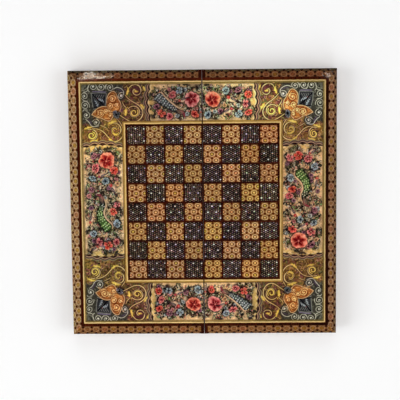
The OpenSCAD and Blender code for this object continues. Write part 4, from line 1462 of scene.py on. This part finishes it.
    # orange palmette of two lobes
    up = [(44.2, 39.4), (43.6, 34.6), (44.0, 29.6), (45.8, 25.6), (49.0, 23.0), (52.0, 23.4), (54.2, 27.0), (56.4, 31.8), (59.0, 36.4), (59.6, 41.0), (58.0, 45.4), (54.4, 48.0), (49.6, 48.6), (45.8, 44.6)]
    low = [(26.4, 48.4), (29.2, 44.8), (34.0, 41.6), (39.0, 40.4), (43.6, 41.0), (47.2, 43.4), (50.4, 46.8), (51.6, 50.0), (49.4, 53.6), (46.4, 56.6), (42.2, 56.0), (37.4, 53.2), (32.2, 51.6)]
    for pts in (low, up):
        sh.stroke(through(pts + pts[:1]), 1.6, (58, 34, 26), alpha=0.8)
        sh.fill(through(pts, True, 5), (174, 108, 50), (98, 48, 24), 2.6)
        sh.stroke(through(pts + pts[:1]), 0.8, (196, 156, 104), (222, 188, 136))

    def amber(x, y, r, turns, start, way, dark=(122, 54, 18), light=(240, 186, 106), w=0.8):
        sh.dot(x, y, r * 1.16, (132, 66, 28), alpha=0.88, rim=(98, 46, 22))
        sh.stroke(coil(x, y, r * 0.86, turns, start, way), w + 0.7, dark, alpha=0.9)
        sh.stroke(coil(x, y, r * 1.02, turns, start, way), w, light, (246, 208, 140), taper=(0.3, 1))
        sh.dot(x, y, 0.8, (248, 216, 150))
    amber(49.6, 31.8, 4.6, 1.7, 120, 1, light=(208, 124, 56))
    amber(47.8, 39.8, 3.5, 1.6, 200, -1)
    amber(55.2, 38.6, 2.9, 1.4, -30, 1, light=(214, 148, 78))
    amber(36.6, 47.4, 4.4, 1.8, 160, -1)
    amber(43.0, 45.8, 2.9, 1.5, 30, 1)
    amber(47.6, 50.6, 2.5, 1.3, 60, -1, light=(224, 162, 84))
    for _ in range(95):
        a, b = rng.choice(((rng.uniform(44.5, 58.0), rng.uniform(25, 47)), (rng.uniform(29, 50), rng.uniform(42.5, 55))))
        pts = turn([(0, 0), (0.8, 0.5), (1.7, 0.2)], rng.uniform(0, 360), a, b)
        if not (25 < a < 60 and 23 < b < 57) or a + b < 74 or (a > 56 and b > 46):
            continue
        sh.stroke(through(pts, per=3), 0.5, rng.choice([(242, 192, 118), (104, 46, 18), (214, 140, 70), (252, 220, 158)]), alpha=0.75, taper=(1, 0.3))
    for pts in ([(50.6, 25.2), (53.0, 29.0), (55.0, 33.4)], [(52.4, 42.8), (55.6, 43.4), (57.6, 41.0)], [(31.0, 49.6), (34.6, 51.4), (39.4, 51.8)], [(40.4, 53.6), (44.0, 53.8), (46.8, 52.6)], [(45.0, 43.4), (48.8, 46.4), (52.6, 46.4)]):
        sh.stroke(through(pts), 0.6, (226, 166, 88), (244, 204, 134), taper=(0.3, 0.3))
    # small dark blue blossom at its foot
    blossom(sh, 54.6, 50.4, 4.3, 5, (118, 122, 122), (40, 42, 46), (12, 12, 16), (176, 178, 172), rng)
    # gold scrolls on both arms
    g0, g1 = (190, 152, 80), (240, 214, 148)

    def stem(pts, w=1.15, c=g0, h=g1):
        sh.stroke(through(pts), w + 1.0, (34, 18, 14), alpha=0.7)
        sh.stroke(through(pts), w, c, h, taper=(0.6, 0.6))

    def scroll(x, y, r, turns, start, way, w=1.0, c=g0, h=g1):
        w *= 1.2
        sh.stroke(coil(x, y, r, turns, start, way, 0.3), w + 1.1, (34, 18, 14), alpha=0.7)
        sh.stroke(coil(x, y, r, turns, start, way, 0.3), w, c, h, taper=(0.7, 0.8))

    yellow, lemon = (190, 154, 56), (244, 220, 108)
    scroll(76.4, 23.2, 8.0, 1.1, 200, 1)
    sh.dot(76.6, 23.0, 5.6, (88, 40, 54), alpha=0.75, rim=(66, 30, 34))
    curl_leaf(sh, 73.4, 21.2, 18, 7.0, 3.2, yellow, lemon)
    scroll(76.6, 23.2, 5.6, 0.62, 20, 1, 0.8)
    curl_leaf(sh, 66.0, 28.0, -84, 9.4, 3.0, yellow, lemon)
    curl_leaf(sh, 84.6, 17.6, 74, 9.0, 3.0, yellow, lemon, True)
    stem([(64.2, 27.6), (67.4, 31.2), (72.0, 34.4), (77.4, 37.6), (81.6, 42.2), (83.2, 47.6), (81.4, 53.0), (76.6, 56.4), (70.4, 56.6), (64.4, 53.8), (58.4, 50.2)])
    scroll(73.4, 46.2, 7.4, 1.25, 215, 1, 1.0)
    sh.dot(73.4, 46.2, 3.6, (110, 72, 40), alpha=0.7)
    scroll(73.6, 46.4, 4.4, 1.15, -40, 1, 1.15, (204, 164, 62), (248, 222, 116))
    curl_leaf(sh, 64.2, 50.4, -72, 11.0, 3.6, yellow, lemon, True)
    curl_leaf(sh, 80.4, 37.6, 62, 12.0, 3.6, yellow, lemon, True)
    stem([(66.0, 42.2), (62.4, 38.2), (60.8, 34.4)], 0.8)
    scroll(25.6, 72.6, 7.6, 1.0, -120, 1, 0.95)
    scroll(26.0, 72.8, 4.5, 1.35, -80, 1, 1.15, (204, 164, 62), (248, 222, 116))
    curl_leaf(sh, 17.4, 65.2, -6, 10.6, 3.0, yellow, lemon, True)
    curl_leaf(sh, 23.6, 79.6, -18, 10.0, 2.8, yellow, lemon)
    stem([(26.6, 64.6), (33.0, 65.4), (38.8, 68.4), (43.6, 73.4), (48.6, 77.8), (54.6, 78.4), (59.6, 74.6), (61.2, 68.0), (59.6, 61.4), (56.2, 55.8)])
    scroll(52.2, 66.4, 7.9, 1.2, -130, 1, 0.9)
    scroll(52.2, 66.8, 4.4, 0.85, 30, 1, 1.0, (196, 154, 62), (226, 196, 96))
    curl_leaf(sh, 44.2, 59.8, -8, 11.0, 3.2, yellow, lemon, True)
    curl_leaf(sh, 44.6, 75.2, 24, 9.8, 3.2, yellow, lemon)
    curl_leaf(sh, 48.4, 69.2, 14, 7.6, 2.8, yellow, lemon)
    stem([(35.2, 60.8), (39.6, 62.8), (43.6, 64.8)], 0.7)


def paint_sheet():
    sh = Sheet(136.2, 0.3)
    x, y = sh.x, sh.y
    # ground of the scroll zones: brown, olive and plum
    a, b, c = cloud(x, y, 8.0, 1), cloud(x, y, 5.0, 2), cloud(x, y, 1.5, 3)
    base = np.array([112.0, 82, 48])
    for w, col in ((a, (136, 110, 54)), (b, (108, 64, 62)), (cloud(x, y, 11.0, 5), (78, 60, 36))):
        k = np.clip(w * 2 - 0.75, 0, 1)[..., None]
        base = base * (1 - k) + np.array(col, float) * k
    sh.img[:] = base + (c[..., None] - 0.5) * 40
    # the arms beside the side panels are more golden, those beside the rear panel more plum
    beside = np.clip((np.abs(x) - np.abs(y)) / 30 + 0.5, 0, 1)[..., None]
    sh.img *= beside * np.array([1.18, 1.14, 1.02]) + (1 - beside) * np.array([0.94, 0.86, 0.92])
    rng = random.Random(5)
    dabs = [(72, 72, 36), (98, 100, 46), (150, 122, 54), (110, 58, 84), (164, 106, 92), (58, 34, 44), (180, 146, 70), (44, 32, 28), (84, 102, 50), (130, 72, 72), (152, 130, 68)]

    def off(px, py):
        return abs(px) < 86 and abs(py) < 88 or abs(px) < 54 or abs(py) < 56

    for _ in range(16000):
        px, py = rng.uniform(-136, 136), rng.uniform(-136, 136)
        if off(px, py):
            continue
        c = rng.choice(dabs)
        if abs(px) > abs(py) and rng.random() < 0.45:
            c = rng.choice([(176, 142, 66), (150, 120, 54), (134, 106, 50), (196, 160, 84)])
        leaf(sh, px, py, rng.uniform(0, 360), rng.uniform(2.2, 4.4), rng.uniform(1.0, 1.7), vary(c, rng, 14), tuple(v * 0.5 for v in c), None, rng, alpha=0.8, bend=rng.uniform(-0.5, 0.5))
    for i in range(4200):
        px, py = rng.uniform(-136, 136), rng.uniform(-136, 136)
        if off(px, py):
            continue
        pts = turn([(0, 0), (1.4, 0.9), (3.2, 0.6), (3.8, -0.4)], rng.uniform(0, 360), px, py, 1.0, rng.random() < 0.5)
        sh.stroke(through(pts, per=3), 0.5, rng.choice([(226, 190, 112), (196, 156, 84), (206, 166, 130), (26, 16, 14), (30, 18, 20)]), alpha=0.85, taper=(1, 0.3))
    for sx, sy, seed in ((-1, 1, 11), (1, 1, 12), (1, -1, 13), (-1, -1, 14)):
        hand = random.Random(seed * 7)
        ph = [hand.uniform(0, 6.28) for _ in range(4)]
        am = [hand.uniform(0.5, 1.1) for _ in range(2)]

        def place(p, sx=sx, sy=sy, ph=ph, am=am):
            # every corner is drawn by hand, so no two are quite alike
            k = np.clip((np.minimum(p[:, 0], p[:, 1]) - 15.0) / 6.0, 0, 1)
            u = p[:, 0] + k * am[0] * np.sin(p[:, 1] / 7.5 + ph[0]) * np.cos(p[:, 0] / 11.0 + ph[1])
            v = p[:, 1] + k * am[1] * np.sin(p[:, 0] / 7.5 + ph[2]) * np.cos(p[:, 1] / 11.0 + ph[3])
            return np.stack([sx * (HALF - u), sy * (HALF - v)], 1)
        corner(sh, place, random.Random(seed))
    sh.place = lambda p: p
    top_w, bot_w, side_w = G0 - IN_Y1, G0 + IN_Y0, G0 - IN_X
    lay_panel(sh, 0, (G0 + IN_Y1) / 2, False, 118, top_w, 41, "end", False)
    lay_panel(sh, 0, (-G0 + IN_Y0) / 2, False, 119, bot_w, 42, "end", True)
    lay_panel(sh, -(G0 + IN_X) / 2, 3.5, True, 124, side_w, 43, "side", False)
    lay_panel(sh, (G0 + IN_X) / 2, 3.2, True, 123, side_w, 44, "side", True)
    # thin painted lines beside the two gold lines
    sh.place, sh.mask = (lambda p: p), None

    def frame_line(x1, y0, y1, w, col, heart, alpha):
        sh.stroke([(-x1, y0), (x1, y0), (x1, y1), (-x1, y1), (-x1, y0)], w, col, heart, alpha=alpha)
    frame_line(G0 - 1.5, -G0 + 1.5, G0 - 1.5, 0.6, (58, 38, 20), None, 0.6)
    frame_line(G0 - 0.35, -G0 + 0.35, G0 - 0.35, 1.1, (96, 80, 34), (124, 106, 44), 0.85)
    frame_line(IN_X + 1.25, IN_Y0 - 1.25, IN_Y1 + 1.25, 0.6, (58, 34, 18), None, 0.7)
    frame_line(IN_X + 0.35, IN_Y0 - 0.35, IN_Y1 + 0.35, 1.1, (140, 102, 42), (176, 136, 56), 0.85)
    # painted light and shade: broad patches of the painting made lighter, a painted sheen, and a few made darker,
    # painted shade
    for px, py, r, g in ((112.0, 118.0, 42.0, (1.22, 1.24, 1.20)), (80.0, 114.0, 30.0, (1.27, 1.20, 1.19)), (-112.0, 70.0, 34.0, (1.18, 1.12, 1.0)), (112.0, 76.0, 30.0, (1.0, 0.96, 0.98)), (-110.0, -118.0, 44.0, (1.12, 1.11, 1.09)), (114.0, -118.0, 40.0, (1.14, 1.15, 1.12)), (-36.0, 114.0, 40.0, (0.86, 0.84, 0.84)), (34.0, 114.0, 34.0, (1.20, 1.22, 1.12)),
                           (112.0, 32.0, 50.0, (1.01, 0.96, 0.93)), (112.0, -26.0, 50.0, (1.01, 0.96, 0.93)), (0.0, -113.0, 60.0, (1.04, 1.0, 0.97)), (84.0, -114.0, 30.0, (1.0, 0.92, 0.86)),
                           (112.0, -76.0, 30.0, (0.97, 0.90, 0.91)), (-76.0, 114.0, 34.0, (0.97, 0.89, 0.93)), (-80.0, -114.0, 34.0, (1.0, 0.93, 0.97)), (112.0, 76.0, 30.0, (0.96, 0.95, 0.99))):
        k = np.exp(-((x - px) ** 2 + (y - py) ** 2) / (2 * (r * 0.55) ** 2))[..., None]
        sh.img *= 1 + k * (np.array(g) - 1)
    # brush marks
    m = (cloud(x, y, 0.9, 31) - 0.5) * 0.16 + (cloud(x, y, 2.6, 32) - 0.5) * 0.14
    sh.img *= (1 + m)[..., None]
    np.clip(sh.img, 0, 255, out=sh.img)
    return sh


def painted_slab(name, x0, x1, y0, y1, sheet, body, node, step):
    """One stretch of the painted sheet: a closed 0.8 mm piece, its colours at the points of a fine net."""
    nx, ny = max(2, int(round((x1 - x0) / step))), max(2, int(round((y1 - y0) / step)))
    gx, gy = np.meshgrid(np.linspace(x0, x1, nx + 1), np.linspace(y0, y1, ny + 1))
    # colour at each point, between the sheet's own points
    u, v = (gx + sheet.half) / sheet.step, (gy + sheet.half) / sheet.step
    i, j = np.floor(v).astype(int), np.floor(u).astype(int)
    fv, fu = (v - i)[..., None], (u - j)[..., None]
    im = sheet.img
    c = (im[i, j] * (1 - fu) + im[i, j + 1] * fu) * (1 - fv) + (im[i + 1, j] * (1 - fu) + im[i + 1, j + 1] * fu) * fv
    c = np.clip(c / 255.0, 0, 1)
    c = np.where(c <= 0.04045, c / 12.92, ((c + 0.055) / 1.055) ** 2.4)
    n_top = gx.size
    ids = np.arange(n_top).reshape(gx.shape)
    top = np.stack([ids[:-1, :-1], ids[:-1, 1:], ids[1:, 1:], ids[1:, :-1]], -1).reshape(-1, 4)
    loop = np.concatenate([ids[0, :-1], ids[:-1, -1], ids[-1, :0:-1], ids[:0:-1, 0]])
    m = len(loop)
    pts = np.stack([gx.ravel(), gy.ravel(), np.full(n_top, TOP)], 1)
    low = pts[loop].copy()
    low[:, 2] = BASE
    pts = np.concatenate([pts, low]) * MM
    b = n_top + np.arange(m)
    side = np.stack([loop, b, np.roll(b, -1), np.roll(loop, -1)], 1)
    count = len(top) + m + 1
    corners = np.concatenate([top.ravel(), side.ravel(), b[::-1]])
    me = bpy.data.meshes.new(name)
    me.vertices.add(len(pts))
    me.vertices.foreach_set("co", pts.astype(np.float32).ravel())
    me.loops.add(len(corners))
    me.loops.foreach_set("vertex_index", corners.astype(np.int32))
    me.polygons.add(count)
    sizes = np.full(count, 4)
    sizes[-1] = m
    me.polygons.foreach_set("loop_start", np.concatenate([[0], np.cumsum(sizes)[:-1]]).astype(np.int32))
    me.update(calc_edges=True)
    at = me.color_attributes.new("Col", "FLOAT_COLOR", "POINT")
    col = np.ones((len(pts), 4), np.float32)
    col[:n_top, :3] = c.reshape(-1, 3)
    col[n_top:, :3] = col[loop, :3]
    at.data.foreach_set("color", col.ravel())
    lay = me.uv_layers.new(name="OFBake")
    uv = np.zeros((len(corners), 2), np.float32)
    k = top.ravel()
    uv[:len(k), 0] = 0.01 + 0.98 * (gx.ravel()[k] - x0) / (x1 - x0)
    uv[:len(k), 1] = 0.10 + 0.89 * (gy.ravel()[k] - y0) / (y1 - y0)
    rows = 3
    per = -(-m // rows)
    row, place = np.arange(m) // per, np.arange(m) % per
    a0, a1, h0 = 0.01 + 0.84 * place / per, 0.01 + 0.84 * (place + 1) / per, 0.005 + row * 0.03
    uv[len(k):-m] = np.stack([np.stack([a0, h0 + 0.025], 1), np.stack([a0, h0], 1), np.stack([a1, h0], 1), np.stack([a1, h0 + 0.025], 1)], 1).reshape(-1, 2)
    last = low[::-1]
    uv[-m:, 0] = 0.87 + 0.12 * (last[:, 0] - x0) / (x1 - x0)
    uv[-m:, 1] = 0.005 + 0.085 * (last[:, 1] - y0) / (y1 - y0)
    lay.data.foreach_set("uv", uv.ravel())
    me.materials.append(MAT_PAINT)
    me.validate()
    o = bpy.data.objects.new(name, me)
    scene.collection.objects.link(o)
    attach(o, body)
    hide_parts(node)
    return o


def build_painted_sheets():
    sheet = paint_sheet()
    step = 0.36
    xm, ym = (LAID + G0) / 2, SHIFT
    for side, sg in (("left", -1), ("right", 1)):
        for name, xa, xb, ya, yb in (
            ("rear_inner", LAID, xm, IN_Y1, G0), ("rear_outer", xm, G0, IN_Y1, G0),
            ("side_rear", IN_X, G0, ym, IN_Y1), ("side_front", IN_X, G0, IN_Y0, ym),
            ("front_inner", LAID, xm, -G0, IN_Y0), ("front_outer", xm, G0, -G0, IN_Y0),
        ):
            a, b = sorted((sg * xa, sg * xb))
            painted_slab(f"{side}_painted_{name}", a, b, ya, yb, sheet, side + "_half", side + "_painted_sheet", step)


build_squares()
build_borders()
build_wall_mosaics()
build_painted_sheets()

# ---------------------------------------------------------------- floor, light, camera
def build_floor():
    """A pale floor with a round-bottomed trough under the board, so that the half that folds under has room.
    The open board covers it."""
    me = bpy.data.meshes.new("floor")
    s, h, r, n = 14.0, 0.147, 0.152, 40
    v = [(-s, -s, 0), (s, -s, 0), (s, s, 0), (-s, s, 0), (-h, -h, 0), (h, -h, 0), (h, h, 0), (-h, h, 0)]
    f = [(0, 1, 5, 4), (1, 2, 6, 5), (2, 3, 7, 6), (3, 0, 4, 7)]
    arc = [(-r * math.cos(math.pi * k / n), min(-0.003, 0.0013 - r * math.sin(math.pi * k / n))) for k in range(n + 1)]
    v += [(x, y, z) for y in (-r, r) for x, z in arc]
    a0, b0 = 8, 8 + n + 1
    f += [(4, 5, a0 + n, a0), (5, 6, b0 + n, a0 + n), (6, 7, b0, b0 + n), (7, 4, a0, b0)]
    f += [tuple(range(a0, a0 + n + 1)), tuple(range(b0, b0 + n + 1))[::-1]]
    flat = len(f)
    f += [(a0 + k, a0 + k + 1, b0 + k + 1, b0 + k) for k in range(n)]
    me.from_pydata(v, [], f)
    for k, (glow, lo, hi) in enumerate(((0.16, 0.93, 0.95), (0.0, 0.88, 0.92))):
        m, nt, bsdf = nodes_of(("floor_paint", "trough_paint")[k])
        tc = add(nt, "ShaderNodeTexCoord")
        n = noise(nt, tc.outputs["Object"], 3.0, 2.0)
        r = ramp(nt, n.outputs["Fac"], [(0.3, (lo, lo, lo)), (0.7, (hi, hi, hi))])
        nt.links.new(r.outputs[0], bsdf.inputs["Base Color"])
        bsdf.inputs["Roughness"].default_value = 0.9
        bsdf.inputs["Specular IOR Level"].default_value = 0.1
        bsdf.inputs["Emission Color"].default_value = (1, 1, 1, 1)
        bsdf.inputs["Emission Strength"].default_value = glow
        if glow:
            # far from the lamps the floor is kept as light as it is near them
            far = add(nt, "ShaderNodeVectorMath", operation="LENGTH")
            nt.links.new(tc.outputs["Object"], far.inputs[0])
            g = to_range(nt, far.outputs["Value"], glow, 0.80, 0.9, 3.4)
            nt.links.new(g.outputs[0], bsdf.inputs["Emission Strength"])
        else:
            # the trough is lightened where it stands open, and stays dark where the board closes it
            seen = add(nt, "ShaderNodeAmbientOcclusion")
            seen.samples = 8
            seen.inputs["Distance"].default_value = 0.6
            g = add(nt, "ShaderNodeFloatCurve")
            c = g.mapping.curves[0]
            for at, to in ((0.0, 0.0), (0.04, 0.02), (0.14, 0.37), (0.45, 0.19), (1.0, 0.10)):
                if at in (0.0, 1.0):
                    c.points[0 if at == 0.0 else -1].location = (at, to)
                else:
                    c.points.new(at, to)
            for p in c.points:
                p.handle_type = "VECTOR"
            g.mapping.update()
            nt.links.new(seen.outputs["AO"], g.inputs["Value"])
            nt.links.new(g.outputs[0], bsdf.inputs["Emission Strength"])
        me.materials.append(m)
    for p in me.polygons[4:]:
        p.material_index = 1
        p.use_smooth = p.index >= flat
    o = bpy.data.objects.new("floor", me)
    scene.collection.objects.link(o)


def area(name, pos, target, size, power, size_y=None, tint=(1, 1, 1)):
    d = bpy.data.lights.new(name, "AREA")
    d.energy = power
    d.color = tint
    d.size = size
    if size_y:
        d.shape = "RECTANGLE"
        d.size_y = size_y
    o = bpy.data.objects.new(name, d)
    o.location = pos
    o.rotation_euler = (Vector(target) - Vector(pos)).to_track_quat("-Z", "Y").to_euler()
    scene.collection.objects.link(o)
    return o


def build_light():
    area("softbox_left", (-1.9, -0.2, 1.7), (0, 0, 0), 1.8, 30)
    area("softbox_right", (1.9, -0.1, 1.8), (0, 0, 0), 1.8, 24)
    area("softbox_front", (0.1, -2.1, 1.8), (0, 0, 0), 1.8, 18)
    area("softbox_rear", (0.0, 2.2, 1.9), (0, 0, 0), 1.8, 17)
    # small lamps, seen only as short streaks in the lacquer at the two rear corners
    area("lamp_left", (-0.2621, 0.1312, 1.255), (-0.119, 0.1427, 0.025), 0.0024, 0.016, 0.076, (1, 0.88, 0.72))
    area("lamp_left_b", (-0.2741, 0.1374, 1.255), (-0.125, 0.1458, 0.025), 0.0036, 0.006, 0.022, (1, 0.9, 0.76))
    area("lamp_right", (0.2555, 0.131, 1.255), (0.139, 0.1425, 0.025), 0.008, 0.0035, None, (1, 0.86, 0.78))
    w = bpy.data.worlds.new("studio")
    scene.world = w
    w.use_nodes = True
    nt = w.node_tree
    nt.nodes.clear()
    out = nt.nodes.new("ShaderNodeOutputWorld")
    bg = nt.nodes.new("ShaderNodeBackground")
    tc = nt.nodes.new("ShaderNodeTexCoord")
    sep = nt.nodes.new("ShaderNodeSeparateXYZ")
    nt.links.new(tc.outputs["Generated"], sep.inputs[0])
    r = ramp(nt, sep.outputs["Z"], [(0.0, (0.92, 0.92, 0.92)), (0.12, (0.62, 0.62, 0.62)), (0.26, (0.32, 0.32, 0.32)), (0.5, (0.17, 0.17, 0.17)), (0.85, (0.03, 0.03, 0.03))])
    nt.links.new(r.outputs[0], bg.inputs["Color"])
    bg.inputs["Strength"].default_value = 1.0
    nt.links.new(bg.outputs[0], out.inputs[0])


def build_camera():
    d = bpy.data.cameras.new("camera")
    d.sensor_width = 36.0
    d.lens = 1100.0 / 400.0 * 36.0
    o = bpy.data.objects.new("camera", d)
    rot = Matrix.Rotation(math.radians(-0.61), 3, "Z") @ Matrix.Rotation(math.radians(1.21), 3, "Y") @ Matrix.Rotation(math.radians(-6.98), 3, "X")
    o.matrix_world = Matrix.Translation((0.0241, 0.1542, 1.2298 + TOP * MM)) @ rot.to_4x4()
    d.clip_start = 0.01
    scene.collection.objects.link(o)
    scene.camera = o


build_floor()
build_light()
build_camera()
scene.view_settings.view_transform = "Standard"
scene.view_settings.look = "None"
